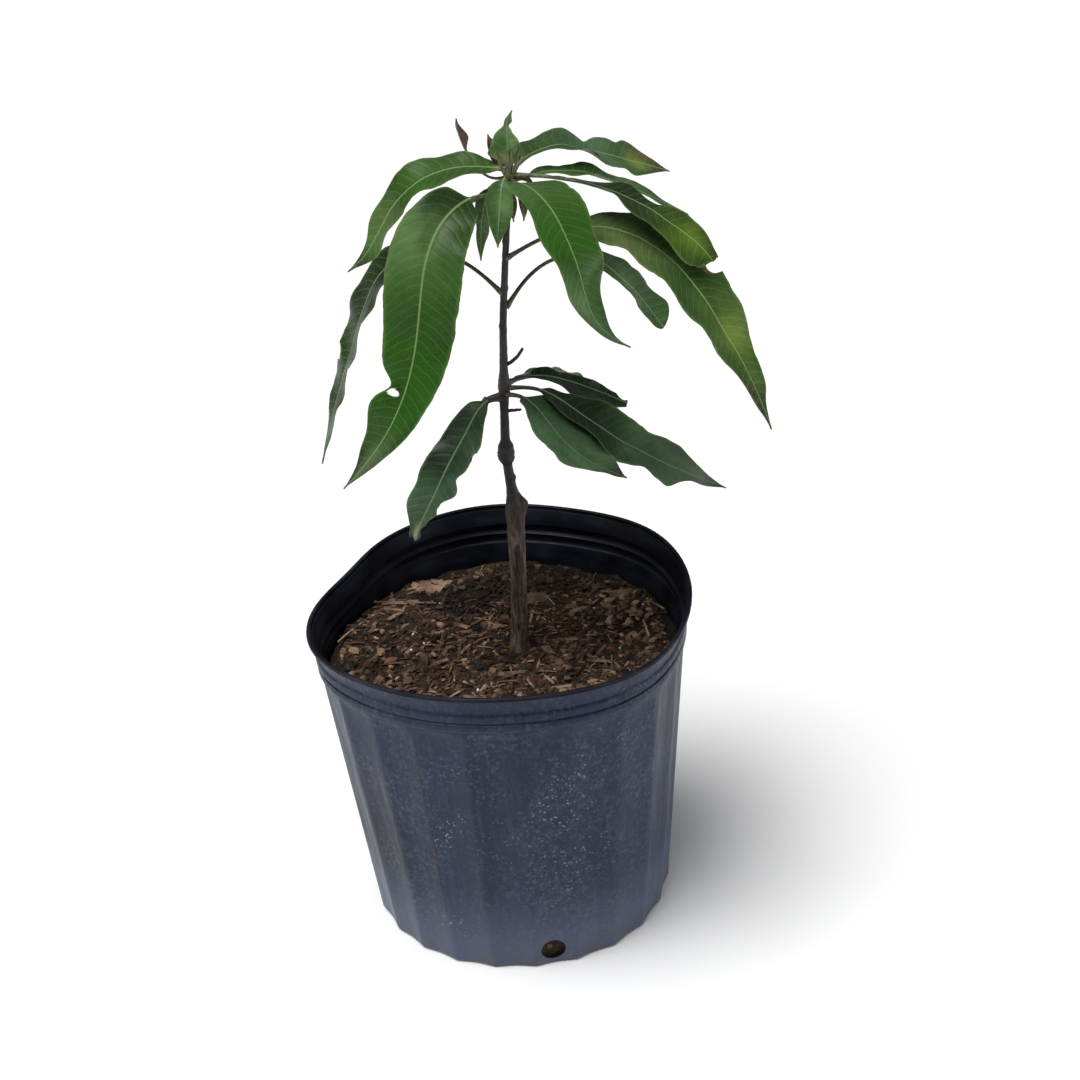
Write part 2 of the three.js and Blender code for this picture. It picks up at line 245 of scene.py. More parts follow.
def feed(tree, node, inputs):
    """Gives each input a fixed value, or another node's output, which is linked."""
    for key, value in inputs.items():
        if isinstance(value, bpy.types.NodeSocket):
            tree.links.new(value, node.inputs[key])
        else:
            node.inputs[key].default_value = value


def add(tree, kind, inputs=None, **settings):
    """Adds a node with these inputs and settings."""
    made = tree.nodes.new("ShaderNode" + kind)
    for key, value in settings.items():
        setattr(made, key, value)
    feed(tree, made, inputs or {})
    return made


def surface(tree, shader, colour, rough, shine):
    feed(tree, shader, {"Base Color": colour, "Roughness": rough, "Specular IOR Level": shine})


def sums(tree, operation, first, second=0.0, third=0.0):
    return add(tree, "Math", {0: first, 1: second, 2: third}, operation=operation).outputs[0]


def times(tree, first, second):
    return sums(tree, "MULTIPLY", first, second)


def mix(tree, share, first, second, blend="MIX"):
    made = add(tree, "Mix", {0: share, 6: first, 7: second}, data_type="RGBA", blend_type=blend)
    return made.outputs[2]


def spread(tree, value, low, high, start=0.0, end=1.0):
    """Turns the range low to high into start to end, with soft ends."""
    limits = {0: value, 1: low, 2: high, 3: start, 4: end}
    return add(tree, "MapRange", limits, interpolation_type="SMOOTHSTEP").outputs[0]


def two_tone(tree, value, low, high, dark, light):
    """A base that goes from dark to light as the value goes from low to high."""
    return mix(tree, spread(tree, value, low, high), paint(*dark), paint(*light))


def coats(tree, colour, *rows):
    """Lays coats over a colour. Each row is a coat's share and its paint."""
    for share, steps in rows:
        colour = mix(tree, share, colour, paint(*steps))
    return colour


def grain(tree, place, scale, detail, rough=0.55):
    made = add(tree, "TexNoise", {"Vector": place, "Scale": scale, "Detail": detail, "Roughness": rough})
    return made.outputs["Fac"]


def object_place(tree):
    return add(tree, "TexCoord").outputs["Object"]


def height_of(tree, place):
    return add(tree, "SeparateXYZ", {0: place}).outputs["Z"]


def distance_to(tree, place, spot):
    """Distance in metres from a spot in millimetres."""
    centre = [v * MM for v in spot]
    return add(tree, "VectorMath", {0: place, 1: centre}, operation="DISTANCE").outputs["Value"]


def stretched(tree, place, factors):
    return add(tree, "VectorMath", {0: place, 1: factors}, operation="MULTIPLY").outputs[0]


def relief(tree, shader, height, distance, strength):
    bump = add(tree, "Bump", {"Height": height, "Distance": distance, "Strength": strength})
    feed(tree, shader, {"Normal": bump.outputs["Normal"]})

# %% [markdown]
# ## The pot's shape
#
# A nursery pot is blow moulded from thin polyethylene: a tapering wall with twenty-four shallow flutes,
# two ribs and a plain band under a rolled lip. It could be cut from a cylinder, but its section is what the
# mould gives, so the section is drawn once and spun. The soft pot is also squeezed out of round and the
# flutes run with the taper, which no single operator gives, so the spun wall is pushed in and out by the
# same rule that shapes the solid.

# %% The pot's section
POT_HEIGHT = 250
BASE_RADIUS = 114.5
TOP_RADIUS = 133
FLUTE_TOP = 218
FLUTES = 24
FIRST_RIDGE = 3
THIN_WALL = 1.6
FLOOR_TOP = 3.5

RIM_OUTSIDE = [
    (133.0, 218.0), (133.1, 219.2), (134.3, 220.2), (134.9, 221.6), (134.9, 224.2), (134.4, 225.6),
    (133.4, 226.4), (133.3, 227.2), (134.7, 228.2), (135.4, 229.4), (135.4, 232.2), (134.9, 233.8),
    (134.1, 234.8), (134.2, 236.2), (134.9, 239.5), (136.4, 245.6), (136.7, 246.6), (138.6, 246.9),
    (139.4, 247.5), (139.5, 248.6), (139.2, 249.6), (138.4, 250.0), (136.9, 250.0), (136.3, 249.4),
]


def wall_radius(height):
    return BASE_RADIUS + (TOP_RADIUS - BASE_RADIUS) * height / FLUTE_TOP


foot = [(0, 0), (104, 0), (107, 0.7), (110, 0.7), (111.4, 0), (112.4, 0), (113.8, 0.7), (114.7, 2.5)]
climb_heights = [4, 7, 12, 20, 30, 42, 55, *range(70, 191, 15), 203, 212, 216]
climb = [(wall_radius(h), h) for h in climb_heights]
inside = [(r - THIN_WALL, h) for r, h in reversed(RIM_OUTSIDE[:18])]
drop_heights = [212, 203, *range(190, 39, -30), 20, FLOOR_TOP]
drop = [(wall_radius(h) - THIN_WALL, h) for h in drop_heights]
section = foot + climb + RIM_OUTSIDE + inside + drop + [(0, FLOOR_TOP)]
print("section points:", len(section))

# %% Spin the section
SPIN_STEPS = 288
start_clean()
bpy.ops.mesh.primitive_plane_add(size=2 * MM, location=(0, 0, 0))
pot = bpy.context.object
pot.name = "fluted_pot"

# the plane shrinks to one corner, from which the section is drawn step by step
bpy.ops.object.mode_set(mode="EDIT")
bpy.ops.mesh.select_all(action="SELECT")
bpy.ops.mesh.merge(type="CENTER")
ridge_turn = math.radians(FIRST_RIDGE)
for (r0, h0), (r1, h1) in zip(section, section[1:]):
    out = (r1 - r0) * MM
    step = (out * math.cos(ridge_turn), out * math.sin(ridge_turn), (h1 - h0) * MM)
    bpy.ops.mesh.extrude_region_move(TRANSFORM_OT_translate={"value": step})
bpy.ops.mesh.select_all(action="SELECT")
bpy.ops.mesh.spin(steps=SPIN_STEPS, angle=math.tau, center=(0, 0, 0), axis=(0, 0, 1))
bpy.ops.object.mode_set(mode="OBJECT")
close_up(pot, merge=0.00002)
report(pot)

# %% Squeeze and flute the wall
SQUEEZES = [  # azimuth, spread in degrees, push at the rim and at the foot
    (308, 27, 11.5, 4), (156, 26, -16, -2), (92, 22, 6.5, 0), (38, 22, 5, 0), (206, 18, 3, 0),
]
FLUTE_DEPTH = 2.2
CREST = 0.06  # how rounded the ridges between the flutes are


def squeezed(azimuth, height):
    """How far the wall stands outside its true circle at these azimuths and heights."""
    total = np.zeros_like(azimuth)
    for centre, reach, push, at_foot in SQUEEZES:
        gone = (azimuth - centre + 540) % 360 - 180
        total += lerp(at_foot, push, height / POT_HEIGHT) * np.exp(-((gone / reach) ** 2))
    return total


def fluted(azimuth, height):
    """Depth of the flutes, with a slightly rounded crest between them."""
    wave = np.sin(np.radians((azimuth - FIRST_RIDGE) * FLUTES) / 2)
    depth = FLUTE_DEPTH * (np.sqrt(wave**2 + CREST**2) - CREST) / (math.sqrt(1 + CREST**2) - CREST)
    return depth * (1 - smoothstep(height, FLUTE_TOP - 5, FLUTE_TOP + 0.5))


def pot_shape(spots):
    """Carries points in millimetres from the round pot to the squeezed and fluted one."""
    radius = np.hypot(spots[:, 0], spots[:, 1])
    azimuth = np.degrees(np.arctan2(spots[:, 1], spots[:, 0])) % 360
    share = np.minimum(1, radius / BASE_RADIUS)
    pushed = (squeezed(azimuth, spots[:, 2]) - fluted(azimuth, spots[:, 2])) * share
    scale = np.where(radius < 1, 1, (radius + pushed) / np.maximum(radius, 1))
    return np.column_stack((spots[:, 0] * scale, spots[:, 1] * scale, spots[:, 2]))


set_corners(pot, pot_shape(corners(pot) / MM) * MM)
report(pot)

# %% [markdown]
# ## Drain holes
#
# Four round holes low in the wall let water out. They are clean punched circles, so each is cut by a
# Boolean with one cylinder, which is what a punch does.

# %% Punch the drain holes
DRAIN_RADIUS, DRAIN_HEIGHT, DRAIN_FIRST = 9, 14, 280
start_clean()
for turn_step in range(4):
    azimuth = math.radians(DRAIN_FIRST + 90 * turn_step)
    spot = Vector((BASE_RADIUS * math.cos(azimuth), BASE_RADIUS * math.sin(azimuth), DRAIN_HEIGHT)) * MM
    bpy.ops.mesh.primitive_cylinder_add(
        vertices=40, radius=DRAIN_RADIUS * MM, depth=0.04, location=spot, rotation=(0, math.pi / 2, azimuth))
    punch_out(pot, bpy.context.object)
shade(pot, 24)
report(pot)

# %% [markdown]
# ## The pot's plastic
#
# The plastic is blue-black and satin. Years of handling leave it with faint vertical scuffs, a bloom that
# is paler on some sides, and sprays of dried mud specks low on the wall. The specks are small dots kept
# only inside a few round areas, each given by its place on the wall. Each flat panel between two flutes
# also has a painted reflection: a lighter or darker shade of its own.

# %% Pot finish
POT_SPECKS = [  # azimuth, height and reach of each spray of specks in millimetres, and how dense it is
    (285, 150, 38, 1.0), (293, 178, 32, 0.8), (301, 196, 28, 0.6), (300, 215, 20, 0.5), (247, 122, 20, 1.0),
    (250, 136, 22, 0.8), (264, 160, 16, 0.6), (254, 190, 16, 0.6), (244, 34, 24, 0.9), (290, 100, 48, 0.7),
    (283, 74, 32, 0.5), (272, 120, 70, 0.3),
]
pot_plastic, tree, shader = new_finish("blue_black_plastic")
place = object_place(tree)
parts = add(tree, "SeparateXYZ", {0: place})
height = parts.outputs["Z"]
bloom = grain(tree, stretched(tree, place, (9, 9, 2.2)), 1.6, 3)
streaks = grain(tree, stretched(tree, place, (60, 60, 3)), 4, 4, 0.6)
fine = grain(tree, place, 900, 2)
picks = grain(tree, place, 160, 2)

# painted reflection: each flat panel between two flutes gets its own lighter or darker shade, as if it caught
# the light differently
turned = sums(tree, "ARCTAN2", parts.outputs["Y"], parts.outputs["X"])
panel = sums(tree, "SUBTRACT", sums(tree, "DIVIDE", turned, math.tau / FLUTES), FIRST_RIDGE * FLUTES / 360)
panel = sums(tree, "FLOOR", panel)
painted_panel_reflection = add(tree, "TexWhiteNoise", {"W": panel}, noise_dimensions="1D").outputs["Value"]

scuff_areas = spread(tree, grain(tree, place, 22, 3), 0.42, 0.62, 0, 0.5)
scuffs = times(tree, spread(tree, grain(tree, place, 330, 5, 0.7), 0.5, 0.68), scuff_areas)
dust_areas = spread(tree, grain(tree, stretched(tree, place, (1, 1, 0.7)), 19, 3), 0.36, 0.66, 0.1, 1)
dust = times(tree, spread(tree, grain(tree, place, 240, 6, 0.8), 0.46, 0.66, 0, 0.2), dust_areas)
muddy = times(tree, spread(tree, height, 0.004, 0.03, 0.5, 0), spread(tree, picks, 0.42, 0.62))

dots = add(tree, "TexVoronoi", {"Vector": place, "Scale": 380.0, "Randomness": 1.0}).outputs["Distance"]
dots = times(tree, spread(tree, dots, 0.14, 0.4, 0.85, 0), spread(tree, picks, 0.46, 0.6))
sprayed = 0
for azimuth, up, reach, dense in POT_SPECKS:
    radius, azimuth = wall_radius(up) - 1, math.radians(azimuth)
    gone = distance_to(tree, place, (radius * math.cos(azimuth), radius * math.sin(azimuth), up))
    sprayed = sums(tree, "MAXIMUM", sprayed, spread(tree, gone, 0, reach * MM, dense, 0))

colour = coats(
    tree, two_tone(tree, bloom, 0.36, 0.68, (15, 19, 36), (26, 33, 56)),
    (spread(tree, painted_panel_reflection, 0.2, 0.95, 0, 0.55), (46, 57, 82)),
    (spread(tree, streaks, 0.5, 0.78, 0, 0.4), (72, 82, 106)),
    (spread(tree, height, 0.0, 0.085, 0.6, 0), (90, 100, 124)),
    (scuffs, (88, 98, 124)),
    (dust, (118, 124, 142)),
    (times(tree, dots, sprayed), (160, 162, 168)),
    (muddy, (84, 74, 62)))
surface(tree, shader, colour, spread(tree, streaks, 0.3, 0.8, 0.34, 0.56), 0.2)
relief(tree, shader, sums(tree, "ADD", times(tree, fine, 0.25), streaks), 0.0005, 0.5)

# %% The inside of the pot
# the inside and the lip are a darker plastic, made dark enough to also paint the shade that falls inside the
# pot
inner_plastic_and_shade, tree, shader = new_finish("dark_inner_plastic_with_painted_shade")
place = object_place(tree)
haze = grain(tree, stretched(tree, place, (12, 12, 30)), 2, 4)
rub = grain(tree, stretched(tree, place, (1, 1, 6)), 60, 3)
colour = two_tone(tree, haze, 0.4, 0.7, (14, 16, 24), (32, 35, 46))
surface(tree, shader, colour, spread(tree, rub, 0.3, 0.7, 0.42, 0.62), 0.14)
relief(tree, shader, rub, 0.0003, 0.4)

pot.data.materials.append(pot_plastic)
pot.data.materials.append(inner_plastic_and_shade)
ABOVE_FLOOR, LIP_BOTTOM = 3.6 * MM, 246.3 * MM  # just over the inner floor, and the lip's underside
inner = 0
for face in pot.data.polygons:
    outward = Vector((face.center.x, face.center.y, 0)).normalized()
    faces_in = face.normal.dot(outward) < 0.02
    on_lip = face.center.z > LIP_BOTTOM and face.normal.z > -0.6
    if face.center.z > ABOVE_FLOOR and (faces_in or on_lip):
        face.material_index = 1
        inner += 1
print("inner and lip faces:", inner)
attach(pot, "root")
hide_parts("pot")

# %% [markdown]
# ## Potting mix
#
# The mix is a bark compost that has settled and dried on top: a lumpy brown bed, with crumbs, bark chips,
# bits of straw and a few white grains lying on it. The bed is a fine grid drawn into a disc and raised by
# the source's mounds and lumps plus finer noise. Its edge is extruded down the inside of the wall and
# closed below, because the mix also shows in the drain holes.

# %% The bed of mix
SOIL_LEVEL, SOIL_CLEAR = 203, 2.6
STEM_FOOT = 13  # the stem stands this far to the right
STEM_PATCH, SETTLE = 12, 14  # reach of the level patch round the stem, and of the slope beyond it
MOUNDS = [  # x, y, reach, height
    (-75, 25, 40, 7), (70, 45, 35, 4), (45, -70, 30, 3), (-30, -80, 35, 2.5), (-105, 0, 50, 12),
    (-80, 60, 40, 5),
]
SOIL_CELLS = 170


def soil_height(x, y):
    """The source's height of the mix at these places in millimetres."""
    total = 1.2 * np.sin(x / 9) * np.cos(y / 11) + 0.8 * np.sin((x + y) / 17)
    for centre_x, centre_y, reach, high in MOUNDS:
        total = total + high * np.exp(-(np.hypot(x - centre_x, y - centre_y) / reach) ** 2)
    return SOIL_LEVEL + total * smoothstep(np.hypot(x - STEM_FOOT, y), STEM_PATCH, STEM_PATCH + SETTLE)


def crumbly(x, y):
    """Fine unevenness: lumps of three sizes."""
    high = 0
    for size, amount in ((11, 1.5), (5, 1.3), (2.4, 0.8)):
        high += amount * noise.noise((x / size, y / size, size))
    return high


def ring_at(azimuth, level):
    """Points just inside the pot's wall, all at one height. The azimuths are in radians."""
    radius = wall_radius(level) - SOIL_CLEAR
    heights = np.full(len(azimuth), float(level))
    return np.column_stack((radius * np.cos(azimuth), radius * np.sin(azimuth), heights))


start_clean()
bpy.ops.mesh.primitive_grid_add(x_subdivisions=SOIL_CELLS, y_subdivisions=SOIL_CELLS, size=2)
soil = bpy.context.object
soil.name = "potting_mix"
square = corners(soil)
disc_x = square[:, 0] * np.sqrt(1 - square[:, 1] ** 2 / 2)
disc_y = square[:, 1] * np.sqrt(1 - square[:, 0] ** 2 / 2)
edge = wall_radius(SOIL_LEVEL) - SOIL_CLEAR
bed = pot_shape(np.column_stack((disc_x * edge, disc_y * edge, np.full(len(disc_x), float(SOIL_LEVEL)))))
bed[:, 2] = soil_height(bed[:, 0], bed[:, 1])
near_stem = smoothstep(np.hypot(bed[:, 0] - STEM_FOOT, bed[:, 1]), 8, 16)
bed[:, 2] += near_stem * np.array([crumbly(x, y) for x, y in bed[:, :2]])
set_corners(soil, bed * MM)
report(soil)

# %% Draw its edge down inside the wall
bpy.ops.object.mode_set(mode="EDIT")
bpy.ops.mesh.select_mode(type="EDGE")
bpy.ops.mesh.select_all(action="DESELECT")
bpy.ops.mesh.select_non_manifold()
for level in (165, 110, 55, 28, 14, FLOOR_TOP + 0.3):
    bpy.ops.mesh.extrude_region_move(TRANSFORM_OT_translate={"value": (0, 0, -0.01)})
    bpy.ops.object.mode_set(mode="OBJECT")
    spots = corners(soil) / MM
    ring = np.array([v.select for v in soil.data.vertices])
    spots[ring] = pot_shape(ring_at(np.arctan2(spots[ring, 1], spots[ring, 0]), level))
    set_corners(soil, spots * MM)
    bpy.ops.object.mode_set(mode="EDIT")
bpy.ops.object.mode_set(mode="OBJECT")
close_up(soil)
shade(soil, 50)
report(soil)

# %% Mix finish
# painted shadow: the mix is darker behind the stem and towards the back wall, where the plant and the wall
# shade it
SHADOW_SPOTS = [(-34, 76, 48, 0.8), (62, 94, 46, 0.7), (18, 100, 40, 0.6)]  # x, y, reach, strength
SHADOW_CORE = 0.45  # share of the reach that is fully in painted shadow
SHADOW_COLOUR = (16, 13, 11)


def dampened(tree, place, colour):
    """The colour, with painted shadow round the few places behind the stem and towards the back wall."""
    for x, y, reach, strength in SHADOW_SPOTS:
        gone = distance_to(tree, place, (x, y, SOIL_LEVEL))
        share = spread(tree, gone, SHADOW_CORE * reach * MM, reach * MM, strength, 0)
        colour = mix(tree, share, colour, paint(*SHADOW_COLOUR))
    return colour


mix_finish, tree, shader = new_finish("bark_potting_mix")
place = object_place(tree)
patches = grain(tree, place, 28, 4)
crumbs_grain = grain(tree, place, 260, 5, 0.65)
flecks = add(tree, "TexVoronoi", {"Vector": place, "Scale": 330.0}).outputs["Color"]
fleck_pick = add(tree, "SeparateXYZ", {0: flecks}).outputs["X"]
colour = coats(
    tree, two_tone(tree, patches, 0.35, 0.65, (34, 26, 20), (62, 48, 38)),
    (spread(tree, crumbs_grain, 0.35, 0.7, 0, 0.75), (22, 17, 13)),
    (spread(tree, fleck_pick, 0.86, 0.97, 0, 0.6), (110, 88, 68)))
surface(tree, shader, dampened(tree, place, colour), 0.95, 0.2)
relief(tree, shader, crumbs_grain, 0.0016, 1.0)
soil.data.materials.append(mix_finish)
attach(soil, "root")
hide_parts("soil")

# %% [markdown]
# ## Loose bits on the mix
#
# Crumbs, bark chips, straws and white grains are too many to model one by one. One small solid of each
# kind is modelled and copied with its own size and turn to places on the bed. All copies of a kind are
# joined into one mesh, and each copy has a few dozen faces at most. What differs from kind to kind is how
# one bit is drawn by chance, so each kind has one short function for that: it gives the bit's lift, its
# turn, tilt and lean, and its three scales.

# %% Scatter helpers
chance = random.Random(41)
between, about = chance.uniform, chance.gauss
FULL_TURN = 6.28  # radians, as near as a loose bit needs
STEM_GAP = 11  # no bit lies closer to the stem's middle


def surface_height(x, y):
    return float(soil_height(x, y)) + crumbly(x, y)


def inside_pot(x, y, margin):
    azimuth = np.array(math.degrees(math.atan2(y, x)) % 360)
    wall = wall_radius(SOIL_LEVEL) - SOIL_CLEAR - FLUTE_DEPTH + float(squeezed(azimuth, SOIL_LEVEL))
    return math.hypot(x, y) < wall - margin


def random_spot(margin):
    while True:
        x, y = between(-140, 140), between(-140, 140)
        if inside_pot(x, y, margin) and math.hypot(x - STEM_FOOT, y) > STEM_GAP:
            return x, y


def any_turn():
    return between(0, FULL_TURN)


def scattered(name, seed_piece, places, finish):
    """Copies one small solid to each place (x, y, lift, turn, tilt, lean, scales) and joins the copies."""
    model = corners(seed_piece)
    faces = [list(p.vertices) for p in seed_piece.data.polygons]
    spots, all_faces = [], []
    for x, y, lift, spin, tilt, lean, scales in places:
        turned = Matrix.Rotation(spin, 3, "Z") @ Matrix.Rotation(tilt, 3, "Y") @ Matrix.Rotation(lean, 3, "X")
        base = Vector((x, y, surface_height(x, y) + lift))
        for corner in model:
            spots.append((base + turned @ Vector([c * s for c, s in zip(corner, scales)])) * MM)
        start = len(spots) - len(model)
        all_faces += [[start + i for i in face] for face in faces]
    made = bpy.data.meshes.new(name)
    made.from_pydata(spots, [], all_faces)
    made.update()
    piece = bpy.data.objects.new(name, made)
    bpy.context.collection.objects.link(piece)
    made.materials.append(finish)
    bpy.data.objects.remove(seed_piece, do_unlink=True)
    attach(piece, "root")
    report(piece)


def strewn(name, count, margin, model, finish, draw_one, first=()):
    """Copies all over the bed, after those that have places of their own."""
    places = [(*random_spot(margin), *draw_one()) for _ in range(count)]
    scattered(name, model, [*first, *places], finish)


def heaped(count, across, back, margin, draw_one):
    """Places in a loose heap. Those outside the pot are left out."""
    spots = []
    for _ in range(count):
        x, y = about(*across), about(*back)
        if inside_pot(x, y, margin):
            spots.append((x, y, *draw_one()))
    return spots

# %% Small solids to copy
def rough_pebble(seed):
    """A small angular crumb about one unit in radius."""
    start_clean()
    bpy.ops.mesh.primitive_ico_sphere_add(subdivisions=1, radius=1, location=(0, 0, 0))
    pebble = bpy.context.object
    bpy.ops.object.mode_set(mode="EDIT")
    bpy.ops.mesh.select_all(action="SELECT")
    bpy.ops.transform.vertex_random(offset=0.35, uniform=0.4, seed=seed)
    bpy.ops.object.mode_set(mode="OBJECT")
    return pebble


def bent_stick(sides, radius, cuts, slant, arch, rough=0):
    """A thin stick along X, two units long, cut across at some places so that it can bend there."""
    start_clean()
    bpy.ops.mesh.primitive_cylinder_add(vertices=sides, radius=radius, depth=2, rotation=(0, math.pi / 2, 0))
    stick = bpy.context.object
    bpy.ops.object.transform_apply(rotation=True)
    bpy.ops.object.mode_set(mode="EDIT")
    for cut_at in cuts:
        bpy.ops.mesh.select_all(action="SELECT")
        bpy.ops.mesh.bisect(plane_co=(cut_at, 0, 0), plane_no=(1, slant, 0))
    if rough:
        bpy.ops.mesh.select_all(action="SELECT")
        bpy.ops.transform.vertex_random(offset=rough, uniform=0.5, seed=11)
    bpy.ops.object.mode_set(mode="OBJECT")
    spots = corners(stick)
    spots[:, 2] += arch * (1 - spots[:, 0] ** 2)
    set_corners(stick, spots)
    return stick


def rough_splinter():
    return bent_stick(4, 0.7, (-0.35, 0.3), 0.3, 0.5, rough=0.18)

# %% Finishes of the loose bits
def bit_finish(name, dark, light, scale, rough=0.9, shadowed=True):
    finish, tree, shader = new_finish(name)
    place = object_place(tree)
    shadow = grain(tree, place, scale, 4)
    fibres = grain(tree, stretched(tree, place, (1, 1, 0.2)), scale * 3, 3)
    colour = two_tone(tree, shadow, 0.32, 0.68, dark, light)
    # painted shadow on the loose bits too, in the same places as on the bed
    if shadowed:
        colour = dampened(tree, place, colour)
    surface(tree, shader, colour, rough, 0.25)
    relief(tree, shader, fibres, 0.0004, 0.8)
    return finish


crumb_finish = bit_finish("compost_crumb", (34, 26, 20), (88, 68, 54), 60)
chip_finish = bit_finish("bark_chip", (70, 54, 43), (142, 118, 98), 45)
nugget_brown = bit_finish("brown_bark_nugget", (42, 31, 25), (104, 80, 64), 90)
nugget_tan = bit_finish("tan_bark_nugget", (88, 66, 52), (154, 126, 104), 90)
straw_finish = bit_finish("dry_straw", (104, 84, 62), (160, 136, 106), 50, 0.7)
shred_dark = bit_finish("dark_wood_shred", (30, 22, 17), (66, 50, 40), 55)
shred_brown = bit_finish("brown_wood_shred", (62, 44, 33), (112, 86, 68), 55)
shred_tan = bit_finish("tan_wood_shred", (104, 80, 62), (158, 130, 106), 55)
chunk_finish = bit_finish("pale_wood_chunk", (84, 65, 52), (156, 128, 105), 60, shadowed=False)
grain_finish = bit_finish("white_grain", (170, 168, 160), (214, 212, 205), 90, shadowed=False)

# %% Crumbs, bark chips and nuggets
def crumb():
    size = 0.7 + 2.0 * chance.random() ** 2.5
    scales = [size * between(0.7, 1.3) for _ in range(3)]
    return size * 0.25, any_turn(), between(0, 3), between(0, 3), scales


def chip():
    long = between(2.0, 4.6)
    scales = (long, long * between(0.35, 0.8), between(0.7, 1.5))
    return 0.5, any_turn(), between(-0.3, 0.3), between(-0.3, 0.3), scales


def nugget():
    size = 1.8 + 2.6 * chance.random() ** 1.6
    scales = (size * between(1, 1.5), size * between(0.7, 1), size * between(0.4, 0.7))
    return size * 0.15, any_turn(), about(0, 0.25), about(0, 0.25), scales


strewn("compost_crumbs", 1500, 3, rough_pebble(3), crumb_finish, crumb)
strewn("bark_chips", 70, 7, rough_pebble(8), chip_finish, chip)
strewn("bark_nuggets_0", 190, 7, rough_pebble(14), nugget_brown, nugget)
strewn("bark_nuggets_1", 120, 7, rough_pebble(15), nugget_tan, nugget)

# %% White grains
grain_places = []
for x, y in [random_spot(8) for _ in range(16)]:
    size = between(0.9, 1.9)
    grain_places.append((x, y, size * 0.4, any_turn(), 0.3, 0.2, (size, size * 0.8, size * 0.7)))
scattered("white_grains", rough_pebble(5), grain_places, grain_finish)

# %% Shredded wood
def shred():
    long = 1.8 + 6.4 * chance.random() ** 2
    scales = (long, between(0.6, 1.9), between(0.4, 1.1))
    return between(0.1, 1.1), any_turn(), about(0, 0.16), between(-0.5, 0.5), scales


strewn("wood_shreds_0", 900, 6, rough_splinter(), shred_dark, shred)
strewn("wood_shreds_1", 700, 6, rough_splinter(), shred_brown, shred)
strewn("wood_shreds_2", 260, 6, rough_splinter(), shred_tan, shred)

# %% Heap of pale wood chunks behind on the left, and pale lumps there and on the right
def chunk():
    scales = (between(2.5, 6.5), between(1.4, 3), between(1, 2))
    return between(0.4, 3.4), between(-0.7, 0.7), about(0, 0.25), between(-0.6, 0.6), scales


def heap_lump():
    size = between(2.2, 5)
    scales = (size * 1.35, size * 0.9, size * 0.6)
    return between(0.4, 2.6), between(-0.7, 0.7), about(0, 0.3), about(0, 0.3), scales


def low_lump():
    size = between(1.8, 3.6)
    scales = (size * 1.3, size * 0.9, size * 0.5)
    return size * 0.2, any_turn(), about(0, 0.3), about(0, 0.3), scales


chunks = heaped(46, (-62, 17), (97, 8), 9, chunk)
for x, y in ((-82, 62), (-74, 60), (-64, 61), (-56, 62), (-90, 66), (-70, 68)):
    chunks.append((x, y, 1.6, between(-0.2, 0.2), 0.05, 0.1, (between(5, 9), 1.5, 0.9)))
scattered("pale_wood_chunks", rough_splinter(), chunks, chunk_finish)
lumps = heaped(40, (-66, 16), (98, 7), 9, heap_lump) + heaped(34, (92, 16), (38, 22), 7, low_lump)
scattered("pale_wood_lumps", rough_pebble(23), lumps, chunk_finish)

# %% Large chips that lie in plain view
large_places = [  # x, y, lift, turn, tilt, lean, scales
    (28, 67, 2.0, 0.3, 0.15, 0.35, (8.5, 7, 1.5)), (93, 62, 2.0, 0.2, 0.1, 0.3, (9, 4.5, 1.6)),
    (78, 66, 1.6, -0.4, 0.1, 0.2, (7, 4, 1.4)), (0, -37, 1.2, 0.08, 0.02, 0.1, (16, 2.6, 1.2)),
    (60, 40, 1.2, 0.5, 0.1, 0.1, (6, 3, 1.2)), (-30, 30, 1.0, -0.5, 0.1, 0.2, (6, 2.5, 1.1)),
    (70, -30, 1.0, -0.2, 0.05, 0.1, (9, 2.2, 1.1)), (-45, -20, 1.0, 0.6, 0.05, 0.1, (7, 2.4, 1.1)),
    (45, -62, 1.0, 0.15, 0.05, 0.1, (11, 2, 1)), (-78, 28, 1.2, 0.9, 0.1, 0.1, (7, 2.2, 1)),
    (95, 20, 1.0, 1.3, 0.1, 0.1, (6, 2.6, 1)), (-20, -68, 1.0, -0.3, 0.05, 0.1, (8, 2, 1)),
]
scattered("large_bark_chips", rough_splinter(), large_places, chip_finish)

# %% Straws
LONG_STRAWS = [  # x, y, lift, turn, tilt, lean, scales of the few that lie apart
    (-111, 12, 1.6, 1.0, 0.0, 0, (15, 0.9, 0.45)), (107, 9, 1.4, 1.65, 0.0, 0, (12, 0.8, 0.45)),
    (-75, 64, 1.8, -0.05, 0.0, 0, (13, 0.9, 0.5)), (116, 44, 2.0, 2.1, 0.1, 0, (14, 0.7, 0.4)),
]


def straw():
    scales = (between(2.5, 8), between(0.3, 0.6), between(0.2, 0.4))
    return 0.9, any_turn() / 2, between(-0.1, 0.1), 0, scales


strewn("straw_bits", 70, 12, bent_stick(5, 1, (-0.4, 0.3), 0, 1.2), straw_finish, straw, first=LONG_STRAWS)

# %% [markdown]
# ## Sheets rolled into stems and leaves
#
# A stem, a leaf stalk and a leaf blade are all tubes: the blade is only a very flat one. So each starts as
# one flat grid that is rolled round, like a sheet of paper, and laid along a line by a rule. Columns run
# round the tube and rows run along it. The seam is merged and the ends are closed afterwards. This keeps
# a stalk and its blade in one unbroken skin, which joined pieces would not.

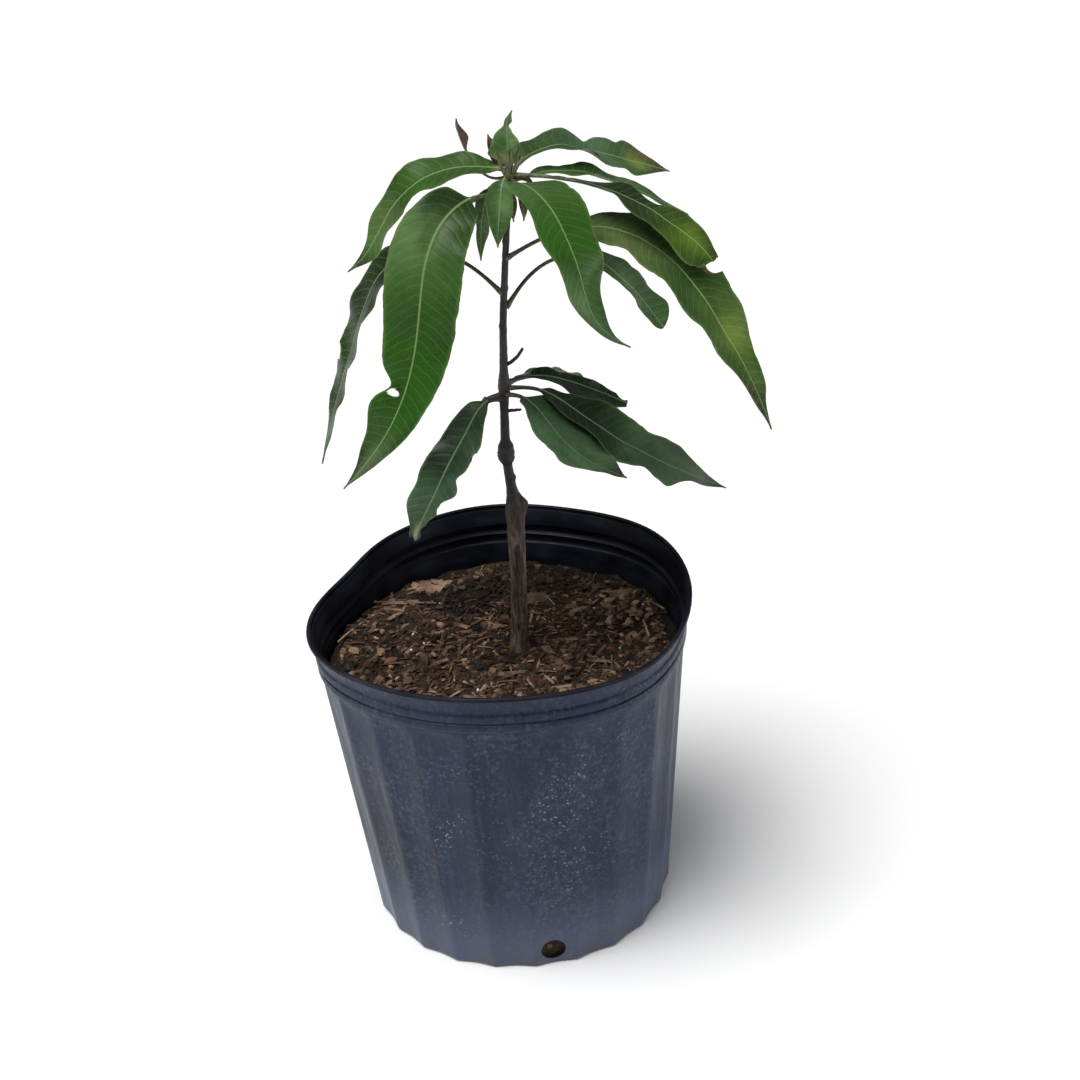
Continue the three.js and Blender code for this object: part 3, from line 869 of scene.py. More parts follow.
# %% Roll a grid into a tube
def rolled(name, columns, rows, rule):
    """A closed tube. rule(round_share, along_share) gives points in millimetres and extra values by name."""
    start_clean()
    bpy.ops.mesh.primitive_grid_add(x_subdivisions=columns, y_subdivisions=rows, size=2)
    piece = bpy.context.object
    piece.name = name
    flat = corners(piece)
    round_share, along_share = (flat[:, 0] + 1) / 2, (flat[:, 1] + 1) / 2
    spots, extras = rule(round_share, along_share)
    for key, values in extras.items():
        kind = "FLOAT_COLOR" if values.ndim == 2 else "FLOAT"
        layer = piece.data.attributes.new(key, kind, "POINT")
        field = "color" if values.ndim == 2 else "value"
        layer.data.foreach_set(field, values.astype(float).ravel())
    set_corners(piece, spots * MM)
    return piece, round_share

# %% [markdown]
# ## The stem
#
# The rootstock is as thick as a finger and has greyish bark with fine vertical cracks. Above the graft,
# with its cut shoulder, the mango variety goes on as a thin dark stem with swollen nodes where flushes of
# leaves once stood. Radius and lean are the source's tables, read with soft transitions, and the bark is
# real relief: noise that is stretched along the stem, small warts, and rings at the nodes.

# %% The stem's tables
STEM_BOTTOM, STEM_TOP = 203.3, 566
LEAN = [  # height, how far the stem stands to the right
    (STEM_BOTTOM, 13), (275, 16.5), (319, 18), (359, 15.2), (395, 17), (456, 21.2), (497, 26), (553, 33),
    (STEM_TOP, 33.5),
]
RADII = [  # height, radius
    (STEM_BOTTOM, 9), (209, 7.3), (222, 6.7), (300, 6.3), (311, 7.2), (319, 7.8), (327, 5.6), (333, 3.7),
    (351, 3.4), (355, 4.8), (360, 6), (365, 4.8), (369, 3.3), (392, 2.9), (404, 3.6), (413, 4), (420, 2.9),
    (440, 2.6), (497, 2.2), (536, 2.2), (546, 3.4), (556, 3.2), (561, 1.8), (STEM_TOP, 0.5),
]


def read_at(table, heights):
    return np.interp(heights, [row[0] for row in table], [row[1] for row in table])


def softly(table, heights, reach=3.0):
    """The table read at a few heights around, so that its corners are rounded."""
    return sum(read_at(table, heights + reach * k) * w for k, w in ((-1, 0.25), (0, 0.5), (1, 0.25)))


def swelling(heights, azimuth, at, side, out, reach_height, reach_degrees):
    gone = (azimuth - side + 540) % 360 - 180
    return out * np.exp(-((heights - at) / reach_height) ** 2 - (gone / reach_degrees) ** 2)

# %% Grow the stem
STEM_WARTS = [  # height, side, how far out, reach along and round
    (360, 0, 0.2, 3, 400), (355, 0, 0.8, 2.2, 400), (365.5, 0, 0.9, 2.2, 400), (351, 90, -0.35, 3, 400),
    (358, 205, 0.5, 2.5, 45), (361, 330, 0.5, 2.2, 40), (341, 0, 1.0, 1.8, 40), (327, 190, -0.6, 4, 60),
    (324, 345, 1.2, 2.2, 26), (312, 25, 1.3, 2.6, 30), (320, 0, 2.4, 4.2, 38), (317, 30, 0.8, 3, 40),
    (321, 180, -1.1, 6, 60), (250, 180, -1.3, 60, 70),
    (406, 20, 0.9, 1.6, 40), (409, 140, 0.8, 1.5, 40), (415, 250, 0.8, 1.5, 40), (430, 90, 0.5, 1.5, 50),
    (452, 200, 0.5, 1.5, 50), (478, 350, 0.5, 1.5, 50), (510, 160, 0.5, 1.5, 50), (540, 110, 0.7, 1.6, 40),
    (548, 320, 0.7, 1.6, 40),
]
NODE_RINGS = [  # how far the rings stand out, how close they lie, and where they fade in and out
    (0.25, 2.6, 350, 354, 366, 370), (0.22, 2.1, 400, 403, 415, 418), (0.25, 2.9, 541, 544, 556, 558),
]
BUD_FROM = 558  # above this height the stem's tip is smooth and pointed
GRAFT_LOW, GRAFT_HIGH = 322, 332


def bark_depth(x, y, z, rootstock):
    """Relief of the bark in millimetres: long cracks on the rootstock, fine wrinkles above the graft."""
    cracks = noisy(x * 0.55, y * 0.55, z * 0.045) * 0.55 + noisy(x * 1.3, y * 1.3, z * 0.16) * 0.3
    knobs = noisy(x * 0.35, y * 0.35, z * 0.3) * 0.35
    wrinkles = noisy(x * 1.1, y * 1.1, z * 0.35) * 0.22
    return rootstock * (cracks + knobs) + (1 - rootstock) * wrinkles


def stem_rule(round_share, along_share):
    heights = lerp(STEM_BOTTOM, STEM_TOP, along_share)
    turned = -2 * math.pi * round_share
    azimuth = np.degrees(turned) % 360
    radius = np.where(heights > BUD_FROM, read_at(RADII, heights), softly(RADII, heights))
    for wart in STEM_WARTS:
        radius = radius + swelling(heights, azimuth, *wart)
    rings = 0
    for high, close, in_from, in_to, out_from, out_to in NODE_RINGS:
        shown = smoothstep(heights, in_from, in_to) - smoothstep(heights, out_from, out_to)
        rings = rings + high * np.sin(heights * close) * shown
    rootstock = 1 - smoothstep(heights, GRAFT_LOW, GRAFT_HIGH)
    bark = bark_depth(radius * np.cos(turned), radius * np.sin(turned), heights, rootstock)
    settled = smoothstep(heights, STEM_BOTTOM, 206) * (1 - smoothstep(heights, BUD_FROM, 562))
    radius = np.maximum(radius + (bark + rings) * settled, 0.4)
    middle = softly(LEAN, heights, 6)
    spots = np.column_stack((middle + radius * np.cos(turned), radius * np.sin(turned), heights))
    return spots, {"rootstock": rootstock, "hollow": np.clip(-bark, 0, 1)}


stem, _ = rolled("grafted_stem", 40, 330, stem_rule)
close_up(stem)
report(stem)

# %% Headings along a curved stalk or leaf
def heading(azimuth, pitch, roll):
    """Unit vectors along, to the right of and up from a direction, for arrays of angles in degrees."""
    azimuth, pitch, roll = (np.radians(np.asarray(v, dtype=float)) for v in (azimuth, pitch, roll))
    level_share = np.cos(pitch)
    along = np.stack((np.cos(azimuth) * level_share, np.sin(azimuth) * level_share, np.sin(pitch)), axis=-1)
    level = np.stack((np.sin(azimuth), -np.cos(azimuth), np.zeros_like(azimuth)), axis=-1)
    upright = np.cross(level, along)
    right = level * np.cos(roll)[..., None] - upright * np.sin(roll)[..., None]
    return along, right, np.cross(right, along)


def path_from(start, azimuth, pitch, roll, length):
    """Places and directions along a curved line that starts at a point."""
    along, right, up = heading(azimuth, pitch, roll)
    reach = length / (len(along) - 1)
    centres = np.vstack((start, start + np.cumsum(along[:-1] * reach, axis=0)))
    return centres, along, right, up

# %% Stubs of dropped stalks
STUBS = [  # height, azimuth, length, radius, rise, lift
    (424, 352, 19, 1.1, 20, 45), (391, 350, 12, 1.0, 5, 0),
]
STUB_ROWS = 24


def grow_stub(name, at, azimuth, length, radius, rise, lift):
    rows = STUB_ROWS
    shares = np.linspace(0, 1, rows + 1)
    start = np.array([float(read_at(LEAN, at)), 0, at])
    centres, along, right, up = path_from(
        start, np.full(rows + 1, azimuth), rise + lift * shares, np.zeros(rows + 1), length)

    def rule(round_share, along_share):
        row = np.rint(along_share * rows).astype(int)
        turned = 2 * math.pi * round_share
        thick = radius * (1.25 - 0.35 * along_share) * np.where(row == rows, 0.55, 1)
        ripple = 1 + 0.1 * np.sin(turned * 3 + along_share * 20)
        spots = centres[row] + (thick * ripple)[:, None] * (
            np.cos(turned)[:, None] * right[row] + np.sin(turned)[:, None] * up[row])
        return spots, {"rootstock": np.zeros(len(row)), "hollow": np.zeros(len(row))}

    piece, _ = rolled(name, 12, rows, rule)
    close_up(piece)
    return piece


stubs = [grow_stub("stalk_stub_" + str(i), *row) for i, row in enumerate(STUBS)]
select_only(*stubs, stem)
bpy.ops.object.join()
shade(stem, 60)
report(stem)

# %% Bark finish
bark_finish, tree, shader = new_finish("grafted_bark")
place = object_place(tree)
rootstock = add(tree, "Attribute", attribute_name="rootstock").outputs["Fac"]
hollow = add(tree, "Attribute", attribute_name="hollow").outputs["Fac"]
long_grain = grain(tree, stretched(tree, place, (1, 1, 0.12)), 420, 5, 0.6)
patches = grain(tree, stretched(tree, place, (1, 1, 0.5)), 90, 4)
pores = grain(tree, stretched(tree, place, (1, 1, 2.2)), 700, 2)
up_high = height_of(tree, place)
lower = coats(
    tree, two_tone(tree, long_grain, 0.35, 0.68, (58, 50, 44), (122, 107, 96)),
    (spread(tree, patches, 0.52, 0.7, 0, 0.5), (98, 96, 78)),
    # painted shade: the rootstock darkens towards its top, under the graft's shoulder
    (spread(tree, up_high, 0.292, 0.318, 0, 0.72), (38, 34, 32)))
upper = coats(
    tree, two_tone(tree, patches, 0.35, 0.7, (22, 22, 26), (47, 43, 42)),
    (spread(tree, pores, 0.62, 0.72, 0, 0.5), (104, 96, 84)),
    (spread(tree, up_high, 0.534, 0.548), (112, 106, 78)))
colour = coats(tree, mix(tree, rootstock, upper, lower), (times(tree, hollow, 1.6), (24, 21, 19)))
surface(tree, shader, colour, spread(tree, rootstock, 0, 1, 0.55, 0.85), 0.35)
relief(tree, shader, sums(tree, "ADD", long_grain, times(tree, pores, 0.4)), 0.0007, 0.9)
stem.data.materials.clear()
stem.data.materials.append(bark_finish)
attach(stem, "root")
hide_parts("trunk")

# %% [markdown]
# ## Leaf finishes
#
# A mango leaf is leathery: a satin upper skin with one pale midrib and side veins every six or seven
# millimetres that leave it almost squarely and arch forward near the margin. Between them runs a fine net.
# The underside is paler and duller. The veins follow the blade however it bends, so the pattern is worked
# out from the leaf's own flat measure, kept in its UV map at true scale, and not from its place in space.
# Each leaf's colour, with its yellowed or dried parts and its painted shade and painted highlights, comes
# from a colour attribute, whose fourth value says how thick the midrib still is.

# %% Vein pattern
UV_SPAN = 300  # millimetres that one unit of a leaf's UV map stands for
UV_MARGIN = 50  # millimetres of the map kept for the stalk
VEIN_STEP = 6.6
VEIN_SLANT, VEIN_ARCH = 0.045, 0.0028  # how the side veins lean and curve forward
OTHER_SIDE = 0.45  # the two sides' veins do not meet: one side's stand this share of a step on


def vein_pattern(tree):
    """Shares of midrib, side vein and net, and the pillow height between veins."""
    flat = add(tree, "UVMap", uv_map="leaf_flat").outputs["UV"]
    parts = add(tree, "SeparateXYZ", {0: flat})
    across = sums(tree, "MULTIPLY_ADD", parts.outputs["X"], UV_SPAN, -UV_SPAN / 2)
    along = sums(tree, "MULTIPLY_ADD", parts.outputs["Y"], UV_SPAN, -UV_MARGIN)
    reach = sums(tree, "ABSOLUTE", across)
    other_side = times(tree, sums(tree, "GREATER_THAN", across, 0.0), OTHER_SIDE)
    sway = sums(tree, "MULTIPLY_ADD", grain(tree, flat, 11, 2), 1.3, -0.65)
    arch = times(tree, sums(tree, "POWER", reach, 2.0), VEIN_ARCH)
    slant = sums(tree, "MULTIPLY_ADD", reach, VEIN_SLANT, arch)
    phase = sums(tree, "SUBTRACT", sums(tree, "DIVIDE", along, VEIN_STEP), slant)
    phase = sums(tree, "ADD", sums(tree, "ADD", phase, other_side), sway)
    to_vein = sums(tree, "PINGPONG", phase, 0.5)
    side_vein = spread(tree, to_vein, 0.015, 0.085, 1, 0)
    rib_share = add(tree, "Attribute", attribute_name="tone").outputs["Alpha"]
    midrib = spread(tree, sums(tree, "DIVIDE", reach, rib_share), 0.35, 1.05, 1, 0)
    cells = add(tree, "TexVoronoi", {"Vector": flat, "Scale": 190.0}, feature="DISTANCE_TO_EDGE")
    net = spread(tree, cells.outputs["Distance"], 0.02, 0.16, 1, 0)
    pillow = spread(tree, to_vein, 0.0, 0.3)
    return flat, side_vein, midrib, net, pillow

# %% Upper skin and underside
def tinted_in_places(tree, colour, share, steps):
    return mix(tree, share, colour, mix(tree, 1.0, colour, paint(*steps), "MULTIPLY"))


def leaf_finish(name, vein_share, rib_colour, vein_colour, pale=None, rough=(0.3, 0.46), shine=0.16):
    finish, tree, shader = new_finish(name)
    flat, side_vein, midrib, net, pillow = vein_pattern(tree)
    tone = add(tree, "Attribute", attribute_name="tone").outputs["Color"]
    clouds = grain(tree, flat, 14, 4)
    mottle = grain(tree, flat, 75, 3)
    colour = tinted_in_places(tree, tone, spread(tree, clouds, 0.35, 0.7, 0, 0.5), (178, 200, 160))
    colour = tinted_in_places(tree, colour, spread(tree, mottle, 0.4, 0.7, 0, 0.16), (120, 150, 110))
    if pale:
        colour = mix(tree, 0.45, colour, paint(*pale))
    colour = coats(
        tree, colour,
        (times(tree, net, 0.05), vein_colour),
        (times(tree, side_vein, vein_share), vein_colour),
        (times(tree, midrib, 0.8), rib_colour))
    surface(tree, shader, colour, spread(tree, clouds, 0.3, 0.72, *rough), shine)
    height = sums(tree, "ADD", pillow, times(tree, net, -0.12))
    height = sums(tree, "ADD", height, times(tree, mottle, 0.3))
    relief(tree, shader, height, 0.0003, 0.42)
    return finish


upper_skin = leaf_finish("mature_leaf_upper_skin", 0.12, (128, 154, 98), (140, 168, 92))
lower_skin = leaf_finish("old_leaf_upper_skin", 0.1, (108, 130, 100), (112, 134, 104))
young_skin = leaf_finish("young_leaf_skin", 0.12, (120, 148, 104), (130, 158, 118))
underside = leaf_finish(
    "leaf_underside", 0.3, (128, 142, 96), (132, 148, 108), pale=(96, 116, 84), rough=(0.5, 0.7), shine=0.3)

# %% Stalk finish
stalk_finish, tree, shader = new_finish("leaf_stalk_skin")
flat = add(tree, "UVMap", uv_map="leaf_flat").outputs["UV"]
tone = add(tree, "Attribute", attribute_name="tone").outputs["Color"]
streak = grain(tree, stretched(tree, flat, (6, 1, 1)), 90, 3)
colour = tinted_in_places(tree, tone, spread(tree, streak, 0.35, 0.7), (150, 150, 135))
surface(tree, shader, colour, 0.5, 0.35)
relief(tree, shader, streak, 0.0003, 0.7)
print("leaf finishes:", [m.name for m in (upper_skin, lower_skin, young_skin, underside, stalk_finish)])

# %% [markdown]
# ## The leaves
#
# A mango leaf is a long lance on a stalk with a swollen base. It leaves the stem, arches over and hangs,
# its two halves folded up a little from the midrib and its edges waving. Bending a flat leaf with a curve
# modifier would do, but the roll and twist would be hard to steer, so each leaf is grown along its midline
# by the same rule and numbers as its solid. The same grid makes the round stalk and the thin blade, with a
# midrib under it.
#
# Each leaf is one row of millimetres and degrees: its height on the stem and its azimuth; how long its
# stalk and blade are and how wide the blade is; its pitch where it rises from the stem, where it falls and
# at its tip, with the share of its length at which it falls; how far its heading sweeps round; and its
# roll, with the twist of that roll from foot to tip.

# %% Leaves on the stem
LEAF_MEASURES = "at azimuth stalk blade width rise fall bend tip sweep roll twist".split()
LEAF_ROWS = {
    "upper_leaf_left": (557, 176, 12, 120, 35, 10, -58, 0.77, -32, 10, -22, -15),
    "upper_leaf_front_left": (541, 226, 31, 214, 49, 16, -74, 0.46, -18, 7, -46, -32),
    "upper_leaf_front": (547, 282.5, 17, 150, 47, 20, -75, 0.71, -17, 49, -8, 6),
    "upper_leaf_front_right": (553, 345, 21, 128, 43, -2, -31, 0.8, -53, -23, -4, 58),
    "upper_leaf_right": (549, 28, 9, 121, 22, 4, -30, 0.65, -31, -25, 8, 10),
    "upper_leaf_back_right": (555, 55, 14, 133, 42, 16, -22, 0.5, -23, -35, 20, 75),
    "upper_leaf_back": (541, 56, 20, 118, 36, 2, -62, 0.5, -70, -16, 12, 20),
    "upper_leaf_back_left": (538, 139, 22, 140, 40, -5, -70, 0.5, -75, 6, 0, 0),
    "middle_leaf_left": (477, 168, 36, 204, 42, 47, -67, 0.52, -71, 8, -20, 0),
    "middle_leaf_front_right": (500, 336, 49, 197, 50, 31, -55, 0.7, -66, -18, 10, -30),
    "middle_leaf_right": (467, 17, 46, 98, 32, 51, -51, 0.7, -60, -10, 16, 50),
    "lower_leaf_front_left": (401, 212, 8, 107, 37, 12, -50, 0.2, -55, 0, -18, -18),
    "lower_leaf_front": (404, 316, 12, 95, 60, 10, -45, 0.32, -7, 10, -10, 15),
    "lower_leaf_right": (408, 349, 19, 146, 46, 3, -39, 0.25, -22, 0, 15, 20),
    "lower_leaf_back_right": (411.5, 30, 14, 86, 27, 0, -29, 0.47, -34, -10, 26, 45),
    "lower_leaf_back": (408, 66, 15, 122, 20, -8, -28, 0.8, -45, -14, -5, 20),
    "lower_leaf_back_left": (402, 145, 10, 74, 26, -20, -62, 0.4, -64, 0, 0, 0),
    "young_leaf_upright_front": (560, 90, 2, 31, 20, 70, 88, 0.5, 50, -60, 0, 0),
    "young_leaf_upright_back": (555, 138, 5, 22, 11, 18, 78, 0.5, 75, 0, 0, 0),
    "young_leaf_limp_front": (553.5, 250, 4, 46, 18, -2, -68, 0.35, -78, -14, -8, 0),
    "young_leaf_limp_left": (546, 186, 6, 50, 16, 5, -78, 0.3, -84, 0, -30, 0),
}


def leaf_of(row):
    return dict(zip(LEAF_MEASURES, row))


LEAVES = {name: leaf_of(row) for name, row in LEAF_ROWS.items()}
print("leaves:", len(LEAVES))

# %% [markdown]
# ## What sets each leaf apart
#
# No two leaves are alike. Insects have bitten some margins, edges bulge, ends are torn, and parts are
# yellowed, bluish with age or dry. A nick says where along the blade it lies, on which side, how deep it
# is, how far it reaches and, if it is sharp, whether it is a brown bite or a tooth. A negative depth is a
# bulge. A hole says where along the blade it lies, how far from the midrib, and how far it reaches along
# and across. A stain says where along and across it lies, how far it reaches, its colour and its strength.
# Many stain marks are painted shade, where a leaf lies under others, and painted highlights, where it
# catches the light. Then belly is where a blade is widest, cut and shorten tear its end off, blunt and
# round_end make its end round, and early opens it before its stalk ends.

# %% Colours, nicks, stains and painted light
# shade and dark mostly paint shade on a leaf's green, light and sunlit mostly paint highlights
LEAF_COLOURS = {
    "shade": (14, 26, 12), "dark": (22, 39, 19), "forest": (32, 60, 17), "dull": (43, 66, 38),
    "umber": (60, 67, 56), "deep": (38, 86, 18), "soft": (54, 79, 53), "leaf": (55, 82, 36),
    "greyed": (65, 86, 64), "bright": (50, 90, 28), "fresh": (61, 92, 45), "pale": (74, 101, 70),
    "worn": (98, 108, 94), "sap": (44, 72, 31), "sage": (80, 98, 58), "young": (96, 136, 74),
    "plum": (60, 50, 54), "brown": (116, 84, 60), "olive": (104, 128, 44), "straw": (128, 142, 66),
    "washed": (110, 132, 94), "light": (126, 158, 104), "dry": (150, 150, 132), "sunlit": (94, 128, 72),
    "moss": (84, 112, 34),
}
# the colour rows also paint light and shade: darker where a leaf lies in the shade of others, lighter where
# it is lit
LEAF_TONES = {  # share of the blade's length, colour
    "upper_leaf_left": [(0.2, "leaf"), (0.35, "bright"), (0.5, "forest"), (0.65, "sage"), (0.8, "leaf"),
        (0.92, "shade")],
    "upper_leaf_front_left": [(0.08, "forest"), (0.25, "deep"), (0.42, "deep"), (0.6, "deep"),
        (0.72, "deep"), (0.84, "forest"), (0.92, "shade")],
    "upper_leaf_front": [(0.12, "leaf"), (0.3, "bright"), (0.5, "deep"), (0.7, "fresh"), (0.88, "greyed")],
    # painted shade: this leaf is dark in its middle, where the leaf above shades it
    "upper_leaf_front_right": [(0.1, "leaf"), (0.25, "dark"), (0.5, "dark"), (0.7, "forest"),
        (0.88, "forest")],
    "upper_leaf_right": [(0.1, "fresh"), (0.35, "sap"), (0.55, "dull"), (0.75, "soft")],
    "upper_leaf_back_right": [(0.2, "sap"), (0.4, "greyed"), (0.6, "pale"), (0.8, "dull"), (0.92, "umber")],
    "upper_leaf_back": [(0.5, "leaf")],
    "upper_leaf_back_left": [(0.5, "fresh")],
    # painted shade: this leaf lies under the leaves above
    "middle_leaf_left": [(0.45, "shade"), (0.6, "dark"), (0.75, "shade"), (0.9, "dull")],
    "middle_leaf_front_right": [(0.3, "sage"), (0.45, "sap"), (0.6, "leaf"), (0.75, "sap"), (0.9, "shade")],
    "middle_leaf_right": [(0.3, "dull"), (0.5, "greyed"), (0.7, "soft"), (0.88, "fresh")],
    "lower_leaf_front_left": [(0.2, "soft"), (0.4, "soft"), (0.6, "soft"), (0.8, "greyed"),
        (0.92, "shade")],
    "lower_leaf_front": [(0.15, "soft"), (0.35, "pale"), (0.55, "pale"), (0.75, "pale"), (0.9, "umber")],
    # painted shade near its foot, where other leaves shade it
    "lower_leaf_right": [(0.05, "shade"), (0.26, "dark"), (0.42, "soft"), (0.5, "pale"), (0.6, "greyed"),
        (0.75, "greyed"), (0.88, "worn"), (0.97, "umber")],
    # painted shade: this leaf lies in the shade of the leaves above
    "lower_leaf_back_right": [(0.1, "shade"), (0.25, "shade"), (0.4, "dark")],
    "lower_leaf_back": [(0.5, "dull")],
    "lower_leaf_back_left": [(0.5, "umber")],
    "young_leaf_upright_front": [(0.5, "young")],
    "young_leaf_upright_back": [(0.5, "fresh")],
    "young_leaf_limp_front": [(0.5, "fresh")],
    "young_leaf_limp_left": [(0.5, "leaf")],
}
# many stain marks below are painted shade, where a leaf lies under the leaves above, and painted highlights
LOOKS = {
    "upper_leaf_left": dict(
        early=12,
        nicks=[(0.3, -1, -1.5, 0.05), (0.79, -1, -5, 0.09)],
        stains_and_painted_light=[(0.75, 0.2, 26, "sunlit", 0.3)]),
    # painted highlight on the upper left of the blade, painted shade at its foot under the leaf above and on
    # its right half
    "upper_leaf_front_left": dict(
        belly=0.34,
        nicks=[(0.45, 1, 1.6, 0.16), (0.635, 1, 7.5, 0.035), (0.745, 1, -5.5, 0.06), (0.86, 1, -2, 0.05),
               (0.42, -1, 1.2, 0.03)],
        holes=[(0.657, 6.8, 1.9, 3.6)],
        stains_and_painted_light=[(0.2, 0.5, 26, "light", 0.75), (0.9, -0.2, 20, "washed", 0.6), (0.03, 0, 16, "dark", 0.8),
                (0.17, -0.55, 22, "forest", 0.7), (0.36, 0.3, 26, "fresh", 0.5),
                (0.09, 0.75, 15, "dark", 0.85), (0.45, -0.8, 22, "forest", 0.5),
                (0.645, 0.5, 5, "dark", 0.8)]),
    "upper_leaf_front": dict(
        nicks=[(0.55, -1, 1.0, 0.03), (0.15, -1, -7.5, 0.11), (0.5, -1, 2.5, 0.08)],
        stains_and_painted_light=[(0.75, 0.4, 12, "light", 0.45), (0.2, 0.5, 20, "sunlit", 0.3), (0.5, -0.4, 26, "sap", 0.4),
                (0.66, -0.5, 20, "deep", 0.6)]),
    "upper_leaf_front_right": dict(
        belly=0.55, shorten=0.955,
        nicks=[(0.55, -1, 12, 0.17), (0.9, 1, -10, 0.1), (0.98, -1, -2, 0.05)],
        stains_and_painted_light=[(0.8, 0.0, 18, "olive", 0.6)]),
    "upper_leaf_right": dict(
        nicks=[(0.6, -1, -2.5, 0.2)],
        stains_and_painted_light=[(0.62, 0.0, 12, "washed", 0.4)]),
    "upper_leaf_back_right": dict(
        nicks=[(0.49, -1, 9, 0.055), (0.58, -1, 4, 0.05), (0.665, -1, 5, 0.05), (0.75, -1, -3.5, 0.055),
               (0.13, -1, -5, 0.08)],
        stains_and_painted_light=[(0.8, 0.1, 12, "straw", 0.6), (0.84, -0.75, 9, "brown", 0.65), (0.97, 0, 9, "plum", 0.6)]),
    # painted shade: the dark marks stand for the shade of the leaves above
    "middle_leaf_left": dict(
        nicks=[(0.61, 1, 7, 0.028, "bite"), (0.37, -1, -11, 0.2)],
        stains_and_painted_light=[(0.3, 0.2, 46, "dark", 0.9), (0.6, -0.2, 40, "forest", 0.7)]),
    "middle_leaf_front_right": dict(
        nicks=[(0.462, -1, 10, 0.032, "bite"), (0.87, -1, -3, 0.035), (0.52, -1, -1.5, 0.03)],
        stains_and_painted_light=[(0.68, -0.35, 15, "straw", 0.6), (0.8, -0.3, 26, "moss", 0.4)]),
    "middle_leaf_right": dict(
        cut=0.9, shorten=0.985, blunt=0.9, round_end=10,
        nicks=[(0.62, 1, 4.5, 0.2), (0.84, -1, -6, 0.14), (0.48, -1, 2, 0.05)],
        stains_and_painted_light=[(0.5, 0.1, 12, "washed", 0.5), (0.62, -0.6, 9, "dull", 0.5)]),
    # painted shade on the left half, which the leaf above shades
    "lower_leaf_front_left": dict(
        cut=0.92,
        nicks=[(0.33, -1, 1.5, 0.022, "tooth"), (0.5, -1, 5, 0.045), (0.665, -1, 7, 0.05),
               (0.71, -1, 1.5, 0.02, "tooth"), (0.8, -1, 4.5, 0.08), (0.86, -1, 1.8, 0.025, "tooth"),
               (0.4, 1, 3, 0.12), (0.75, 1, -4.5, 0.09)],
        stains_and_painted_light=[(0.92, 0, 8, "dry", 0.7), (0.2, 0.6, 18, "shade", 0.8), (0.42, 0.6, 20, "shade", 0.85)]),
    "lower_leaf_front": dict(
        nicks=[(0.13, 1, 4.5, 0.06), (0.25, 1, 3.5, 0.07), (0.6, 1, -3.5, 0.045), (0.74, 1, 6.5, 0.06),
               (0.85, 1, 5.5, 0.065), (0.44, 1, 1.2, 0.025, "tooth")],
        stains_and_painted_light=[(0.98, 0, 7, "dark", 0.7)]),
    # painted shade on the half by its foot, where other leaves shade it
    "lower_leaf_right": dict(
        nicks=[(0.6, 1, 4, 0.05), (0.735, 1, -4.5, 0.035), (0.83, 1, 3, 0.05),
               (0.5, -1, 0.8, 0.02, "tooth"), (0.24, 1, 5, 0.12), (0.1, -1, 7, 0.07), (0.57, -1, 4.5, 0.06),
               (0.72, -1, -5, 0.07)],
        stains_and_painted_light=[(0.08, 0, 14, "dull", 0.6), (0.15, 0.3, 18, "shade", 0.8), (0.36, 0.6, 22, "shade", 0.9),
                (0.98, 0, 8, "plum", 0.6)]),
    "lower_leaf_back_right": dict(
        cut=0.9,
        nicks=[(0.85, -1, 2.4, 0.04, "bite"), (0.42, 1, -6, 0.22), (0.52, -1, 6.5, 0.25)]),
    # painted light on one half of the blade and painted shade on the other
    "young_leaf_upright_front": dict(
        belly=0.35, early=5,
        nicks=[(0.56, 1, 3, 0.07), (0.68, 1, 4.5, 0.07), (0.66, -1, 2.5, 0.09), (0.1, 1, -2.5, 0.12),
               (0.1, -1, -3, 0.12)],
        stains_and_painted_light=[(1.0, 0, 14, "plum", 0.98), (0.3, 0.45, 8, "light", 0.7), (0.3, -0.4, 8, "leaf", 0.6)]),
    "young_leaf_upright_back": dict(
        stains_and_painted_light=[(0.5, 0, 30, "brown", 0.8)]),
    "young_leaf_limp_front": dict(
        stains_and_painted_light=[(0.4, -0.4, 8, "light", 0.4)]),
}
STALK_TONES = {  # of the stalk and of its foot
    "upper": ((112, 118, 82), (142, 132, 104)), "middle": ((60, 64, 50), (104, 94, 70)),
    "lower": ((66, 62, 50), (92, 80, 62)), "young": ((104, 112, 80), (136, 126, 98)),
}

# %% The outline of a blade
STALK_RADIUS, YOUNG_STALK_RADIUS, TIP_RADIUS = 1.25, 0.8, 0.5
BELLY = 0.44
FOLD_DEGREES, WAVE_HIGH, WAVE_LONG = 11, 1.8, 38


def outline(t, belly):
    """Half the blade's width as a share of its greatest, at a share t of its length."""
    even = np.clip(t, 0, 1) ** (math.log(0.5) / math.log(belly))
    return np.maximum(0, np.sin(math.pi * even)) ** lerp(0.6, 1.1, t)


def nicked(t, side, nicks):
    """Millimetres to take off a margin, on the side +1 or -1."""
    off = np.zeros_like(t)
    for at, on_side, depth, reach, *sharp in nicks:
        gone = np.abs(t - at) / reach
        if on_side == side:
            off += depth * (np.sqrt(np.clip(1 - gone**2, 0, 1)) if sharp else np.exp(-(gone**2)))
    return off

# %% The midline of a leaf
TUCK = 3.2  # how far a stalk runs into the stem
SOLID_CLEAR = 0.3  # how far the leaf's solid stays clear of the stem


